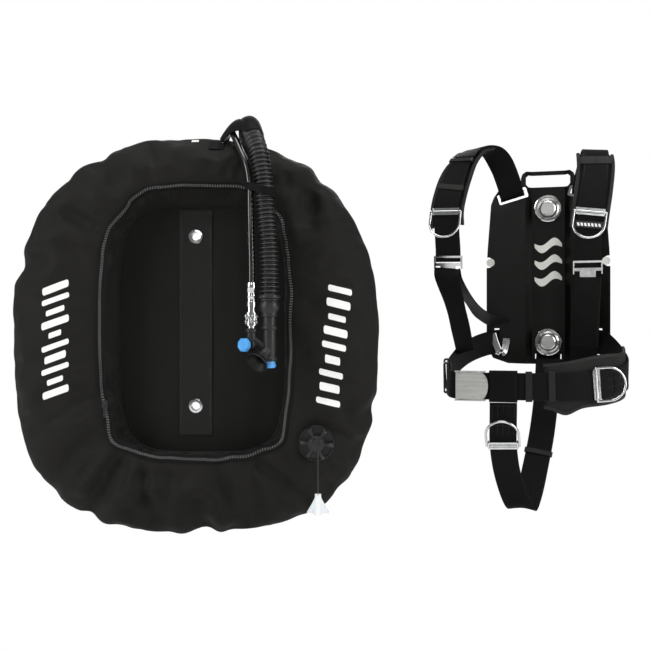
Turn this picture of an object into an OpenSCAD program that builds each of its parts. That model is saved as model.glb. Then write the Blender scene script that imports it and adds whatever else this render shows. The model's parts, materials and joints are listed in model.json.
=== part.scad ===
// Technical-diving buoyancy compensator: a ring-shaped wing with its inflator and dump valve,
// and the backplate with a webbing harness that bolts through the same two holes.
// X is across the diver, Z is up, and the side that faces the diver looks along -Y.
// The origin is midway between the two wing grommets, in the plane of the centre panel.

/* [Wing] */
// Half width of the wing's outer seam
wing_half_w = 306; // [260:1:360]
// Half height of the wing's outer seam
wing_half_h = 326; // [280:1:380]
// Centre height of the outer seam
wing_mid_z = -22; // [-30:1:-10]
// Bulge of the front of the wing
front_bulge = 54; // [44:1:65]
// Bulge of the back of the wing
back_bulge = 49; // [40:1:60]
// Half width of the zipped ridge
ridge_half_w = 148; // [140:1:165]
// Half height of the zipped ridge
ridge_half_h = 218; // [210:1:235]
// Half width of the centre panel
panel_half_w = 133; // [110:1:140]
// Half height of the centre panel
panel_half_h = 198; // [180:1:205]
// Thickness of the cover cloth
cover_t = 1.6; // [1:0.1:2.5]
// Thickness of the centre panel
panel_t = 4; // [3:0.5:6]
// Width of the bolt sleeve
sleeve_w = 54; // [40:1:80]
// Thickness of the bolt sleeve
sleeve_t = 2; // [1:0.5:4]
// Thickness of the zip tape
zip_tape_t = 1.4; // [1:0.1:2]

/* [Bolts] */
// Distance between the two bolts
bolt_pitch = 279.4; // [260:0.1:300]
// Radius of a grommet's bore
grommet_bore_r = 6.5; // [5:0.1:8]
// Radius of a plate bolt
bolt_r = 4.2; // [3:0.1:5]

/* [Hoses and inflator] */
// Outer radius of the corrugated hose
hose_r = 16; // [12:0.5:18]
// Outer radius of the low-pressure hose
lp_hose_r = 5.3; // [4:0.1:6.5]
// Radius of the inflator's main tube
inflator_r = 10.5; // [10:0.1:13]
// Travel of the inflate button
inflate_travel = 3; // [2:0.1:4]
// Travel of the deflate button
deflate_travel = 4; // [2:0.1:5]
// Travel of the coupling sleeve
sleeve_travel = 4; // [2:0.1:5]

/* [Dump valve] */
// Outer radius of the dump valve
dump_r = 28.5; // [24:0.1:32]
// Radius of the dump valve's neck
dump_neck_r = 16; // [12:0.1:19]
// Lift of the poppet
poppet_lift = 4; // [2:0.1:5]

/* [Backplate] */
// Half width of the plate
plate_half_w = 125; // [120:1:150]
// Thickness of the plate
plate_t = 3; // [2:0.5:5]
// Depth of the channel down the middle
channel_d = 16; // [10:1:20]
// Half width of the channel's floor
channel_half_w = 34; // [30:1:38]

/* [Webbing] */
// Width of the webbing
web_w = 50; // [40:0.5:51]
// Thickness of the webbing
web_t = 2.2; // [1.6:0.1:2.6]
// Width of a shoulder pad
pad_w = 66; // [54:1:80]
// Thickness of a shoulder pad
pad_t = 7; // [4:0.5:10]
// Radius of a D-ring's wire
ring_wire_r = 2.3; // [1.8:0.1:2.6]
// Depth of a D-ring
ring_depth = 54; // [44:1:60]

/* [Hidden] */
$fn = 48;

// Clearances: gap keeps loose neighbours apart, fit lets a stem or sleeve run.
gap = 0.3;
fit = 0.05;

// Colours
black_cloth = "#222220";
black_web = "#1c1c1b";
rubber = "#161616";
steel = "#c9ccce";
blue = "#4fa6ee";

// ---------- curves and sweeps ----------
function unit(v) = v / norm(v);
function knot(p, i) = p[max(0, min(len(p) - 1, i))];
function blend_point(a, b, c, d, t) =
    0.5 * (2 * b + (c - a) * t + (2 * a - 5 * b + 4 * c - d) * t * t
        + (3 * b - a - 3 * c + d) * t * t * t);
// A smooth curve through the knots, with some steps between each pair.
function smooth(p, steps) = concat(
    [for (i = [0:len(p) - 2], k = [0:steps - 1])
        blend_point(knot(p, i - 1), knot(p, i), knot(p, i + 1), knot(p, i + 2), k / steps)],
    [p[len(p) - 1]]);
function tangent(p, i) = unit(knot(p, i + 1) - knot(p, i - 1));
function first_side(t) = unit(cross(t, abs(t.z) < 0.9 ? [0, 0, 1] : [0, 1, 0]));
// Side vectors that follow a path without twisting.
function sides(p) = [
    for (i = 0, n = first_side(tangent(p, 0)); i < len(p);
         i = i + 1, n = unit(n - (n * tangent(p, min(i, len(p) - 1))) * tangent(p, min(i, len(p) - 1))))
        n];

// Skins a row of rings; closed joins the last ring to the first.
module loft(rings, closed = false) {
    n = len(rings[0]);
    m = len(rings);
    polyhedron(
        points = [for (r = rings) each r],
        faces = concat(
            closed ? [] : [[for (k = [n - 1:-1:0]) k], [for (k = [0:n - 1]) (m - 1) * n + k]],
            [for (i = [0:closed ? m - 1 : m - 2], k = [0:n - 1])
                let (a = i * n, b = ((i + 1) % m) * n, j = (k + 1) % n)
                each [[a + k, a + j, b + j], [a + k, b + j, b + k]]]));
}

// A round tube along a path.
module tube(path, r, count = 10) {
    side = sides(path);
    loft([for (i = [0:len(path) - 1])
        let (t = tangent(path, i), a = side[i], b = cross(t, a))
        [for (k = [0:count - 1]) path[i] - r * (cos(360 * k / count) * a - sin(360 * k / count) * b)]]);
}

// A web's knots hold a place and the direction of its width.
function place_of(v) = [v[0], v[1], v[2]];
function places(p) = [for (v = p) place_of(v)];
function across(p, i) =
    let (t = tangent(places(p), i), w = [p[i][3], p[i][4], p[i][5]]) unit(w - (w * t) * t);
function inward(p, i) = cross(across(p, i), tangent(places(p), i));

// A flat strap along its knots; lift moves it towards the wearer.
module strap(path, width, thick, lift = 0) {
    loft([for (i = [0:len(path) - 1])
        let (c = place_of(path[i]) + lift * inward(path, i), w = across(path, i) * width / 2,
             n = inward(path, i) * thick / 2)
        [c - w - n, c + w - n, c + w + n, c - w + n]]);
}

// Puts hardware on a web: x across it, -y away from the wearer, z against its run.
module on_web(path, i) {
    p = place_of(path[i]);
    w = across(path, i);
    n = inward(path, i);
    t = tangent(places(path), i);
    multmatrix([[w.x, n.x, -t.x, p.x], [w.y, n.y, -t.y, p.y], [w.z, n.z, -t.z, p.z], [0, 0, 0, 1]])
        children();
}

module along(from, to) {
    d = to - from;
    translate(from)
        rotate([0, acos(d.z / norm(d)), atan2(d.y, d.x)])
            children();
}

// A straight round bar between two points.
module bar(from, to, r) {
    along(from, to) cylinder(r = r, h = norm(to - from));
}

module ring_of(r_out, r_in, h) {
    difference() {
        cylinder(r = r_out, h = h);
        translate([0, 0, -1]) cylinder(r = r_in, h = h + 2);
    }
}

// A rectangle cut at its corners, centred.
module cut_rect(w, h, c) {
    polygon([[-w / 2 + c, -h / 2], [w / 2 - c, -h / 2], [w / 2, -h / 2 + c], [w / 2, h / 2 - c],
             [w / 2 - c, h / 2], [-w / 2 + c, h / 2], [-w / 2, h / 2 - c], [-w / 2, -h / 2 + c]]);
}

// Lays a 2D shape in the XZ plane, from y to y + t.
module upright(y, t) {
    translate([0, y + t, 0]) rotate([90, 0, 0]) linear_extrude(t) children();
}

// A turned part whose axis runs along -Y from the given place.
module turned_forward(at) {
    translate(at) rotate([90, 0, 0]) children();
}

// A coil spring: turns of round wire round +Z from z = 0 to z = h.
module coil(r, wire_r, h, turns) {
    per_turn = 14;
    steps = turns * per_turn;
    tube([for (k = [0:steps])
        [r * cos(360 * k / per_turn), r * sin(360 * k / per_turn), wire_r + (h - 2 * wire_r) * k / steps]],
        wire_r, 6);
}

// ---------- the wing's surfaces ----------
around = 56;
across_front = 9;
across_wall = 3;
across_back = 10;
ridge_mid_x = 9;
ridge_mid_z = -1.5;
panel_mid_x = 11;
panel_mid_z = -14;
edge_y = 0.3;

function bow(v, e) = sign(v) * pow(abs(v), 2 / e);
function oval(a, w, h, z, e) = [w * bow(cos(a), e), z + h * bow(sin(a), e)];
top_round = 2.3;
bottom_round = 2.8;
function outer_seam(a, o) =
    oval(a, wing_half_w - o, wing_half_h - o, wing_mid_z, sin(a) > 0 ? top_round : bottom_round);
// Height of the top seam at a distance from the centre line.
function top_seam_z(x) =
    wing_mid_z + wing_half_h * pow(1 - pow(abs(x) / wing_half_w, top_round), 1 / top_round);
function ridge(a, o) = [ridge_mid_x, 0] + oval(a, ridge_half_w + o, ridge_half_h + o, ridge_mid_z, 3.6);
function panel_edge(a, o) = [panel_mid_x, 0] + oval(a, panel_half_w + o, panel_half_h + o, panel_mid_z, 4.5);
function ridge_y() = front_bulge * pow(sin(130), 0.7);
function lay(p, y) = [p.x, y, p[1]];

// A point of the front: s runs 0 to 1 from the seam to the ridge, then 1 to 2 down the inner wall.
// o is how far it lies inside the cover's outer face.
function front_point(a, s, o) =
    s <= 1
        ? lay((1 - s) * outer_seam(a, o) + s * ridge(a, o),
              -max(edge_y, (front_bulge - o) * pow(sin(130 * s), 0.7)))
        : lay((2 - s) * ridge(a, o) + (s - 1) * panel_edge(a, o),
              -(2 - s) * (ridge_y() - o) - (s - 1) * (panel_t / 2 + gap));
function back_point(a, s, o) =
    lay((1 - s) * outer_seam(a, o) + s * panel_edge(a, o),
        max(s < 0.5 ? edge_y : panel_t / 2 + gap, (back_bulge - o) * pow(sin(180 * s), 0.6)));
front_steps = concat([for (k = [0:across_front]) k / across_front],
                     [for (k = [1:across_wall]) 1 + k / across_wall]);
back_steps = [for (k = [0:across_back]) k / across_back];
function reversed(v) = [for (i = [len(v) - 1:-1:0]) v[i]];

module front_shell(o_out, o_in) {
    loft([for (k = [0:around - 1]) let (a = 360 * (k + 0.5) / around)
        concat([for (s = front_steps) front_point(a, s, o_out)],
               [for (s = reversed(front_steps)) front_point(a, s, o_in)])], closed = true);
}

module back_shell(o_out, o_in) {
    loft([for (k = [0:around - 1]) let (a = -360 * (k + 0.5) / around)
        concat([for (s = back_steps) back_point(a, s, o_out)],
               [for (s = reversed(back_steps)) back_point(a, s, o_in)])], closed = true);
}

// ---------- places on the wing ----------
grommet_z = [bolt_pitch / 2, -bolt_pitch / 2];
dump_at = [199, -front_bulge, -194];
elbow_at = [80, back_bulge, 228];
elbow_neck_r = 19;
elbow_bore_r = 12.5;
elbow_bend_r = 24;
elbow_tube_r = 16.4;
flange_r = 32;
gasket_t = 0.9;

// The corrugated hose, from the elbow over the top edge and down to the inflator.
hose_behind = elbow_at.y + 31;
hose_ahead = -front_bulge - 32;
hose_start = [elbow_at.x, hose_behind, 262];
hose_end = [126, hose_ahead, 30];
hose_knots = [
    hose_start, [80, hose_behind, 268], [80, hose_behind, 274], [81, hose_behind - 13, 297],
    [83, 36, 315], [86, 2, 321], [92, -34, 314], [100, hose_ahead + 24, 291],
    [109, hose_ahead + 9, 262], [117, hose_ahead + 2, 216], [119, hose_ahead + 1, 186],
    [124, hose_ahead, 130], [126, hose_ahead, 90], [126, hose_ahead, 60], hose_end
];
// The low-pressure hose, from the coupling over the top edge and down the back.
lp_behind = back_bulge + 15;
hose_spacing = hose_r + lp_hose_r + 6.7;
lp_x = hose_end.x - hose_spacing;
lp_start = [lp_x, hose_ahead, 58];
lp_end = [30, lp_behind - 4, 0];
lp_knots = [
    lp_start, [lp_x, hose_ahead, 70], [lp_x, hose_ahead, 82], [lp_x - 1, hose_ahead, 130],
    [lp_x - 2, hose_ahead + 1, 180], [lp_x - 3, hose_ahead + 2, 214], [lp_x - 9, hose_ahead + 10, 246],
    [lp_x - 20, hose_ahead + 26, 272], [66, -36, 299], [56, 2, 314], [44, 38, 300],
    [36, lp_behind - 6, 264], [32, lp_behind, 205], [30, lp_behind, 110],
    [30, lp_behind - 4, 24], [30, lp_behind - 4, 12], lp_end
];
// The stretch band holds both hoses here.
band_z = 196;
band_h = 20;
band_t = 1.6;

// ---------- wing: soft parts ----------
module cover_front() {
    color(black_cloth)
        difference() {
            front_shell(0, cover_t);
            turned_forward([dump_at.x, 0, dump_at.z])
                cylinder(r = dump_neck_r + 1, h = front_bulge + 20);
        }
}

module cover_back() {
    color(black_cloth)
        difference() {
            back_shell(0, cover_t);
            translate([elbow_at.x, 0, elbow_at.z]) rotate([-90, 0, 0])
                cylinder(r = elbow_neck_r + 1, h = back_bulge + 20);
        }
}

// The airtight bladder fills the covers, with one hole for each valve.
bladder_o = cover_t + 0.8;
module bladder() {
    color("#3a3a38")
        difference() {
            loft([for (k = [0:around - 1]) let (a = 360 * (k + 0.5) / around)
                concat([for (s = front_steps) front_point(a, s, bladder_o)],
                       [for (s = reversed(back_steps)) back_point(a, s, bladder_o)])],
                closed = true);
            turned_forward([dump_at.x, 0, dump_at.z])
                cylinder(r = dump_neck_r + 1, h = front_bulge + 20);
            translate([elbow_at.x, 0, elbow_at.z]) rotate([-90, 0, 0])
                cylinder(r = elbow_neck_r + 1, h = back_bulge + 20);
        }
}

grommet_barrel_r = grommet_bore_r + 1.8;
grommet_flange_r = grommet_bore_r + 5.5;
module center_panel() {
    color(black_cloth)
        difference() {
            upright(-panel_t / 2, panel_t)
                polygon([for (k = [0:around - 1]) panel_edge(360 * (k + 0.5) / around, 1.2)]);
            for (z = grommet_z)
                turned_forward([0, panel_t, z]) cylinder(r = grommet_barrel_r + gap, h = 3 * panel_t);
        }
}

module bolt_sleeve() {
    color("#2a2a29")
        difference() {
            upright(-panel_t / 2 - gap - sleeve_t, sleeve_t)
                translate([0, -2]) cut_rect(sleeve_w, bolt_pitch + 92, 3);
            for (z = grommet_z)
                turned_forward([0, panel_t, z]) cylinder(r = grommet_barrel_r + gap, h = 5 * panel_t);
        }
}

// Each grommet is a barrel through panel and sleeve with a flange on both faces.
module grommets() {
    front_y = -panel_t / 2 - gap - sleeve_t - 0.1;
    back_y = panel_t / 2 + 0.1;
    color(steel)
        for (z = grommet_z)
            turned_forward([0, back_y + 1, z])
                rotate_extrude()
                    polygon([[grommet_bore_r, 0], [grommet_flange_r, 0], [grommet_flange_r, 1],
                             [grommet_barrel_r, 1], [grommet_barrel_r, 1 + back_y - front_y],
                             [grommet_flange_r, 1 + back_y - front_y],
                             [grommet_flange_r - 1, 2 + back_y - front_y],
                             [grommet_bore_r + 1, 2.4 + back_y - front_y],
                             [grommet_bore_r, 2 + back_y - front_y]]);
}

// The zip runs all round, just outside the ridge.
zip_from = 0.9;
zip_to = 0.99;
zip_lift = 0.9;
module zipper() {
    color("#0f0f0f")
        loft([for (k = [0:around - 1]) let (a = 360 * (k + 0.5) / around)
            [front_point(a, zip_from, -zip_lift - zip_tape_t), front_point(a, zip_to, -zip_lift - zip_tape_t),
             front_point(a, zip_to, -zip_lift), front_point(a, zip_from, -zip_lift)]],
            closed = true);
}

// The slider rides the straight left run of the zip and its tag hangs below.
slider_angle = 203;
slider_half_l = 6;
slider_at = front_point(slider_angle, (zip_from + zip_to) / 2, -zip_lift - zip_tape_t);
module zip_slider() {
    color(steel)
        translate(slider_at) {
            translate([-4, -6.2, -slider_half_l]) cube([9, 3, 2 * slider_half_l]);
            translate([-1.5, -7.8, -slider_half_l - 14]) cube([4, 1.6, 16]);
        }
}

// ---------- wing: hoses ----------
module elbow_base() {
    seat = elbow_at.y + gasket_t + 2 * gap;
    color(rubber)
        translate([elbow_at.x, seat, elbow_at.z]) rotate([-90, 0, 0])
            difference() {
                union() {
                    cylinder(r = flange_r, h = 4);
                    translate([0, 0, -16]) cylinder(r = elbow_neck_r, h = 17);
                }
                translate([0, 0, -20]) cylinder(r = elbow_bore_r, h = 30);
            }
}

// The elbow turns from the back face up into the hose.
module elbow() {
    face = elbow_at.y + gasket_t + 2 * gap + 4 + 0.1;
    bend_y = hose_start.y - elbow_bend_r;
    color(rubber) {
        translate([elbow_at.x, face, elbow_at.z]) rotate([-90, 0, 0])
            ring_of(elbow_tube_r + 3, elbow_bore_r, bend_y - face);
        translate([elbow_at.x, bend_y, elbow_at.z + elbow_bend_r])
            rotate([0, 90, 0])
                rotate_extrude(angle = 90)
                    translate([elbow_bend_r, 0])
                        difference() {
                            circle(r = elbow_tube_r);
                            circle(r = elbow_bore_r);
                        }
        translate([elbow_at.x, hose_start.y, elbow_at.z + elbow_bend_r])
            ring_of(elbow_tube_r, elbow_bore_r, hose_start.z - elbow_at.z - elbow_bend_r);
    }
}

module corrugated_hose() {
    color(rubber) tube(smooth(hose_knots, 2), hose_r, 12);
}

// A ratchet tie grips the hose at each end.
module hose_ties() {
    color("#101010") {
        translate([hose_start.x, hose_start.y, hose_start.z + 3]) {
            ring_of(hose_r + 2.6, hose_r + 1, 6);
            translate([-4, hose_r + 2.2, 0]) cube([8, 5, 6]);
        }
        translate([hose_end.x, hose_end.y, hose_end.z + 4]) {
            ring_of(hose_r + 2.6, hose_r + 1, 6);
            translate([-4, hose_r + 2.2, 0]) cube([8, 5, 6]);
        }
    }
}

// A cloth strap over the hose's crest, sewn to the wing's top seam.
module hose_wrap() {
    crest = hose_knots[5];
    seam_z = top_seam_z(crest.x - 12) + gap;
    color(black_cloth) {
        translate([crest.x, crest.y + 9, crest.z]) rotate([90, 0, 7])
            ring_of(hose_r + 3.8, hose_r + 2.2, 18);
        translate([crest.x - 12, crest.y - 1, seam_z])
            cube([24, 1.6, crest.z - hose_r - 2.6 - seam_z]);
    }
}

// A stretch band round both hoses, and its tail down to the zip.
module hose_band() {
    hose_c = [118.5, hose_ahead + 1.5];
    lp_c = [lp_x - 2.4, hose_ahead + 1.4];
    room = 1.6;
    tail_x = hose_c.x + hose_r + room + band_t + 1.5;
    color(black_cloth) {
        translate([0, 0, band_z - band_h / 2])
            linear_extrude(band_h)
                difference() {
                    hull() {
                        translate(hose_c) circle(r = hose_r + room + band_t);
                        translate(lp_c) circle(r = lp_hose_r + room + band_t);
                    }
                    hull() {
                        translate(hose_c) circle(r = hose_r + room);
                        translate(lp_c) circle(r = lp_hose_r + room);
                    }
                }
        strap(smooth([[tail_x, hose_ahead + 4, 194, 0, 0.6, 0.8],
                      [tail_x + 4.8, hose_ahead + 14, 188, 0, 0.6, 0.8],
                      [tail_x + 11.8, hose_ahead + 23, 177, 0, 0.6, 0.8]], 3), 20, 1.4);
    }
}

// ---------- inflator ----------
body_x = hose_end.x;
feed_x = lp_start.x;
tube_y = hose_end.y;
tube_bottom = -62;
feed_top = -11;
feed_bottom = -37;
inflate_dir = [-0.6, -0.8, 0];
mouth_dir = unit([-15, -20, -19]);
mouth_root = [body_x, tube_y, -42];
mouth_reach = 20;
boss_r = 10.4;
boss_l = 10;
button_r = 9.3;
stem_r = 2.5;

module inflator_body() {
    color(rubber)
        difference() {
            union() {
                translate([body_x, tube_y, 7]) cylinder(r = inflator_r + 2, h = hose_end.z - 7);
                translate([body_x, tube_y, tube_bottom]) cylinder(r = inflator_r, h = 70);
                translate([feed_x, tube_y, feed_bottom]) cylinder(r = 8, h = feed_top - feed_bottom);
                bar([feed_x, tube_y, -26], [body_x, tube_y, -44], 6.5);
                bar([feed_x, tube_y, feed_bottom], [feed_x, tube_y, feed_bottom] + boss_l * inflate_dir,
                    boss_r);
                bar(mouth_root, mouth_root + mouth_reach * mouth_dir, 8);
            }
            translate([body_x, tube_y, -40]) cylinder(r = 7, h = 80);
            translate([body_x, tube_y, tube_bottom - 1]) cylinder(r = button_r + fit, h = 30);
            bar(mouth_root, mouth_root + 2 * mouth_reach * mouth_dir, 5.5);
            translate([feed_x, tube_y, feed_top - 8]) cylinder(r = 4.5, h = 20);
            along([feed_x, tube_y, feed_bottom] + 3 * inflate_dir,
                  [feed_x, tube_y, feed_bottom] + 20 * inflate_dir)
                cylinder(r = 6.5, h = 20);
            bar([feed_x, tube_y, feed_bottom] - 6 * inflate_dir,
                [feed_x, tube_y, feed_bottom] + 6 * inflate_dir, stem_r + fit);
        }
}

// A soft bell over the body's side outlet.
module mouthpiece() {
    color("#1b1b1b")
        along(mouth_root + (mouth_reach + 0.1) * mouth_dir, mouth_root + 2 * mouth_reach * mouth_dir)
            rotate_extrude()
                polygon([[5.5, 0], [8.5, 0], [9.2, 5], [16, 15], [15.4, 17], [14, 15.6], [6.4, 5]]);
}

// The plug that the coupling grips.
module air_nipple() {
    color(steel)
        translate([feed_x, tube_y, feed_top - 7.5])
            difference() {
                union() {
                    cylinder(r = nipple_r, h = 18);
                    translate([0, 0, 7.6]) cylinder(r = 6.4, h = 2);
                }
                translate([0, 0, -1]) cylinder(r = 2, h = 30);
            }
}

button_at = [feed_x, tube_y, feed_bottom] + (boss_l + inflate_travel + gap) * inflate_dir;
module inflate_button() {
    color(blue)
        along(button_at, button_at + inflate_dir) {
            cylinder(r = boss_r - 0.3, h = 6, $fn = 12);
            translate([0, 0, -boss_l - inflate_travel + 2]) cylinder(r = stem_r, h = boss_l + inflate_travel - 1);
        }
}

module inflate_spring() {
    color(steel)
        along([feed_x, tube_y, feed_bottom] + 3.2 * inflate_dir,
              [feed_x, tube_y, feed_bottom] + 20 * inflate_dir)
            coil(4.6, 0.6, boss_l - 3.4, 3);
}

module deflate_button() {
    top = tube_bottom + 2;
    color(blue)
        translate([body_x, tube_y, top]) {
            translate([0, 0, -12]) cylinder(r = button_r, h = 12);
            cylinder(r = stem_r, h = 10);
        }
}

module deflate_spring() {
    color(steel)
        translate([body_x, tube_y, tube_bottom + 2 + deflate_travel + gap])
            coil(5.4, 0.7, 20, 4);
}

// ---------- hose coupling ----------
nipple_r = 4.4;
core_r = 7;
core_bottom = -8;
grip_r = 9.5;
grip_h = 21;
collar_r = 8.4;
collar_h = 8;
// The sleeve's travel and a little more stays free between its top and the collar.
collar_z = core_bottom + 1 + grip_h + sleeve_travel + 4;
module coupling_body() {
    color(steel)
        translate([lp_start.x, lp_start.y, 0])
            difference() {
                union() {
                    translate([0, 0, collar_z + collar_h])
                        cylinder(r = core_r + 0.2, h = lp_start.z - collar_z - collar_h);
                    translate([0, 0, collar_z]) cylinder(r = collar_r, h = collar_h);
                    translate([0, 0, core_bottom]) cylinder(r = core_r, h = collar_z - core_bottom + 1);
                }
                translate([0, 0, core_bottom - 1]) cylinder(r = nipple_r + gap, h = 13);
                translate([0, 0, core_bottom - 1]) cylinder(r = 2.4, h = 80);
            }
}

// The knurled sleeve slides up to let the nipple go.
module coupling_sleeve() {
    color(steel)
        translate([lp_start.x, lp_start.y, core_bottom + 1])
            difference() {
                cylinder(r = grip_r, h = grip_h);
                translate([0, 0, -1]) cylinder(r = core_r + fit, h = grip_h + 2);
                for (a = [0:30:359])
                    rotate(a) translate([grip_r + 0.6, 0, 5]) cylinder(r = 1.2, h = 10, $fn = 16);
            }
}

module lp_hose() {
    color(rubber) tube(smooth(lp_knots, 3), lp_hose_r, 10);
}

// The regulator end: a ferrule, a hex collar and a 3/8 inch threaded tip.
thread_r = 4.76;
module regulator_fitting() {
    color(steel)
        translate([lp_end.x, lp_end.y, lp_end.z - 38])
            difference() {
                union() {
                    translate([0, 0, 22]) cylinder(r = 7, h = 16);
                    translate([0, 0, 14]) cylinder(r = 8.5, h = 8, $fn = 6);
                    cylinder(r = thread_r, h = 14.5);
                }
                translate([0, 0, -1]) cylinder(r = 2.2, h = 50);
            }
}

// ---------- dump valve ----------
seat_y = gasket_t + 2 * gap;
cap_h = 15;
module at_dump() {
    translate(dump_at) rotate([90, 0, 0]) children();
}

// Gaskets seal the two fittings against the covers.
module gaskets() {
    color("#2c2c2c") {
        at_dump() translate([0, 0, gap]) ring_of(dump_r - 2, dump_neck_r + 1, gasket_t);
        translate([elbow_at.x, elbow_at.y + gap, elbow_at.z]) rotate([-90, 0, 0])
            ring_of(flange_r - 2, elbow_neck_r + 1, gasket_t);
    }
}

module dump_base() {
    color(rubber)
        at_dump()
            difference() {
                union() {
                    translate([0, 0, seat_y]) cylinder(r = dump_r, h = 3);
                    translate([0, 0, -14]) cylinder(r = dump_neck_r, h = 14 + seat_y);
                }
                translate([0, 0, -20]) cylinder(r = 11, h = 40);
            }
}

// The cap is a cage with eight vents round a hub that guides the cord.
hub_h = 7;
cord_at = [202, dump_at.y - seat_y - cap_h - 3.1 - hub_h / 2, dump_at.z - 78];
module dump_cap() {
    color(rubber)
        at_dump() translate([0, 0, seat_y + 3.1])
            difference() {
                union() {
                    cylinder(r1 = dump_r, r2 = dump_r - 3, h = cap_h);
                    translate([0, 0, cap_h - 1]) cylinder(r = 8.5, h = hub_h + 1);
                }
                translate([0, 0, -1]) cylinder(r = dump_r - 5.5, h = cap_h - 2);
                for (a = [22.5:45:359])
                    rotate(a) translate([16, 0, cap_h - 5]) cylinder(r = 4.6, h = 10);
                translate([cord_at.x - dump_at.x, -12, cap_h + hub_h / 2])
                    rotate([-90, 0, 0]) cylinder(r = 1.3, h = 19);
                cylinder(r = 2.6, h = cap_h + 3);
            }
}

module dump_poppet() {
    color("#d8d8d4")
        at_dump() translate([0, 0, seat_y + 3 + gap]) {
            cylinder(r = 14, h = 2);
            cylinder(r = 2.2, h = 9);
        }
}

module dump_spring() {
    color(steel)
        at_dump() translate([0, 0, seat_y + 3 + gap + 2 + poppet_lift + gap])
            coil(8, 0.8, cap_h - 3 - 2 - poppet_lift - 3 * gap + 0.1, 2);
}

module pull_cord() {
    color("#151515") tube([[cord_at.x, cord_at.y, dump_at.z + 5], [cord_at.x, cord_at.y, dump_at.z - 36],
                           cord_at], 0.75, 8);
}

// A soft bell with three lobes.
module pull_knob() {
    color("#e8eceb")
        translate([cord_at.x, cord_at.y, cord_at.z - 30])
            difference() {
                union() {
                    translate([0, 0, 22]) cylinder(r1 = 7, r2 = 5, h = 8);
                    cylinder(r1 = 9, r2 = 7, h = 22);
                    for (a = [0:90:359])
                        rotate(a) translate([9, 0, 0]) cylinder(r1 = 7.5, r2 = 2, h = 18);
                }
                translate([0, 0, -1]) cylinder(r = 4, h = 12);
            }
}

// ---------- harness frame ----------
harness_at = [682, 433, 98];
harness_turn = -16;
module on_harness() {
    translate(harness_at) rotate([0, 0, harness_turn]) children();
}

flank_x = 46;
flank_slope = 14 / 79;
// Where the plate's mid surface lies at a distance from its centre line.
function plate_y(x) =
    let (d = abs(x))
    d < channel_half_w ? 0
    : d < flank_x ? -channel_d * (d - channel_half_w) / (flank_x - channel_half_w)
    : -channel_d - flank_slope * (d - flank_x);
// Width direction of a strap that lies on the plate's flank on side s.
function flank_w(s, rise) = [1, -s * flank_slope, rise];

shoulder_slot = [72, 166];
shoulder_slot_turn = 17;
waist_slot = [104, -138];
crotch_slot_z = -170;
slot_w = web_w + 4;
slot_h = 10;
handle_z = 198;

module plate_outline() {
    half = [[0, -186], [28, -186], [81, -184], [112, -173], [plate_half_w, -146], [plate_half_w, 11],
            [plate_half_w - 2, 53], [116, 148], [110, 164], [99, 180], [62, 190], [55, 197],
            [55, 203], [52, 212], [44, 218], [34, 219], [0, 219]];
    polygon(concat(half, [for (i = [len(half) - 2:-1:1]) [-half[i].x, half[i][1]]]));
}

module slot(at, turn, w = slot_w, h = slot_h) {
    translate([at.x, 0, at[1]]) rotate([0, turn, 0])
        translate([-w / 2, -80, -h / 2]) cube([w, 160, h]);
}

module backplate() {
    end = plate_half_w + 8;
    section = [[0, 0], [channel_half_w, 0], [flank_x, -channel_d], [end, plate_y(end)]];
    skin = concat([for (p = reversed(section)) [-p.x, p[1] - plate_t / 2]],
                  [for (i = [1:3]) [section[i].x, section[i][1] - plate_t / 2]],
                  [for (p = reversed(section)) [p.x, p[1] + plate_t / 2]],
                  [for (i = [1:3]) [-section[i].x, section[i][1] + plate_t / 2]]);
    color("#1a1a18") on_harness()
        difference() {
            intersection() {
                translate([0, 0, -200]) linear_extrude(430) polygon(skin);
                upright(-60, 90) plate_outline();
            }
            for (s = [-1, 1]) {
                slot([s * shoulder_slot.x, shoulder_slot[1]], s * shoulder_slot_turn);
                slot([s * waist_slot.x, waist_slot[1]], 90);
                translate([s * (plate_half_w - 3), 0, 27]) turned_forward([0, 60, 0])
                    cylinder(r = 11, h = 120);
                turned_forward([0, 20, s * bolt_pitch / 2]) cylinder(r = bolt_r + gap, h = 40);
            }
            slot([0, crotch_slot_z], 0);
            translate([0, 60, handle_z]) rotate([90, 0, 0]) linear_extrude(120) cut_rect(90, 25, 5);
        }
}

// Bright frames that edge the two shoulder slots.
module strap_frames() {
    color(steel) on_harness()
        for (s = [-1, 1])
            translate([s * shoulder_slot.x, plate_y(shoulder_slot.x), shoulder_slot[1]])
                rotate([0, 0, -s * atan(flank_slope)]) rotate([0, s * shoulder_slot_turn, 0])
                    upright(-plate_t / 2 - gap - 2.5, 2.5)
                        difference() {
                            cut_rect(62, 21, 2);
                            square([slot_w - 0.4, slot_h + 2], center = true);
                        }
}

module edge_eyelets() {
    color("#d7d7d2") on_harness()
        for (s = [-1, 1])
            translate([s * (plate_half_w - 9), plate_y(plate_half_w - 9), 27])
                rotate([0, 0, -s * atan(flank_slope)])
                    translate([0, -plate_t / 2 - gap - 0.3, 0]) rotate([90, 0, 0])
                        translate([-s * 8, 0, 0]) ring_of(6, 3.2, 1.2);
}

module bolt_cups() {
    color(steel) on_harness()
        for (z = grommet_z)
            turned_forward([0, -plate_t / 2 - gap, z])
                rotate_extrude()
                    polygon([[bolt_r + gap, 0], [17, 0], [24, 4], [28, 9.5], [26.6, 10], [22.6, 5.4],
                             [16, 1.6], [bolt_r + gap, 1.6]]);
}

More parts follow.
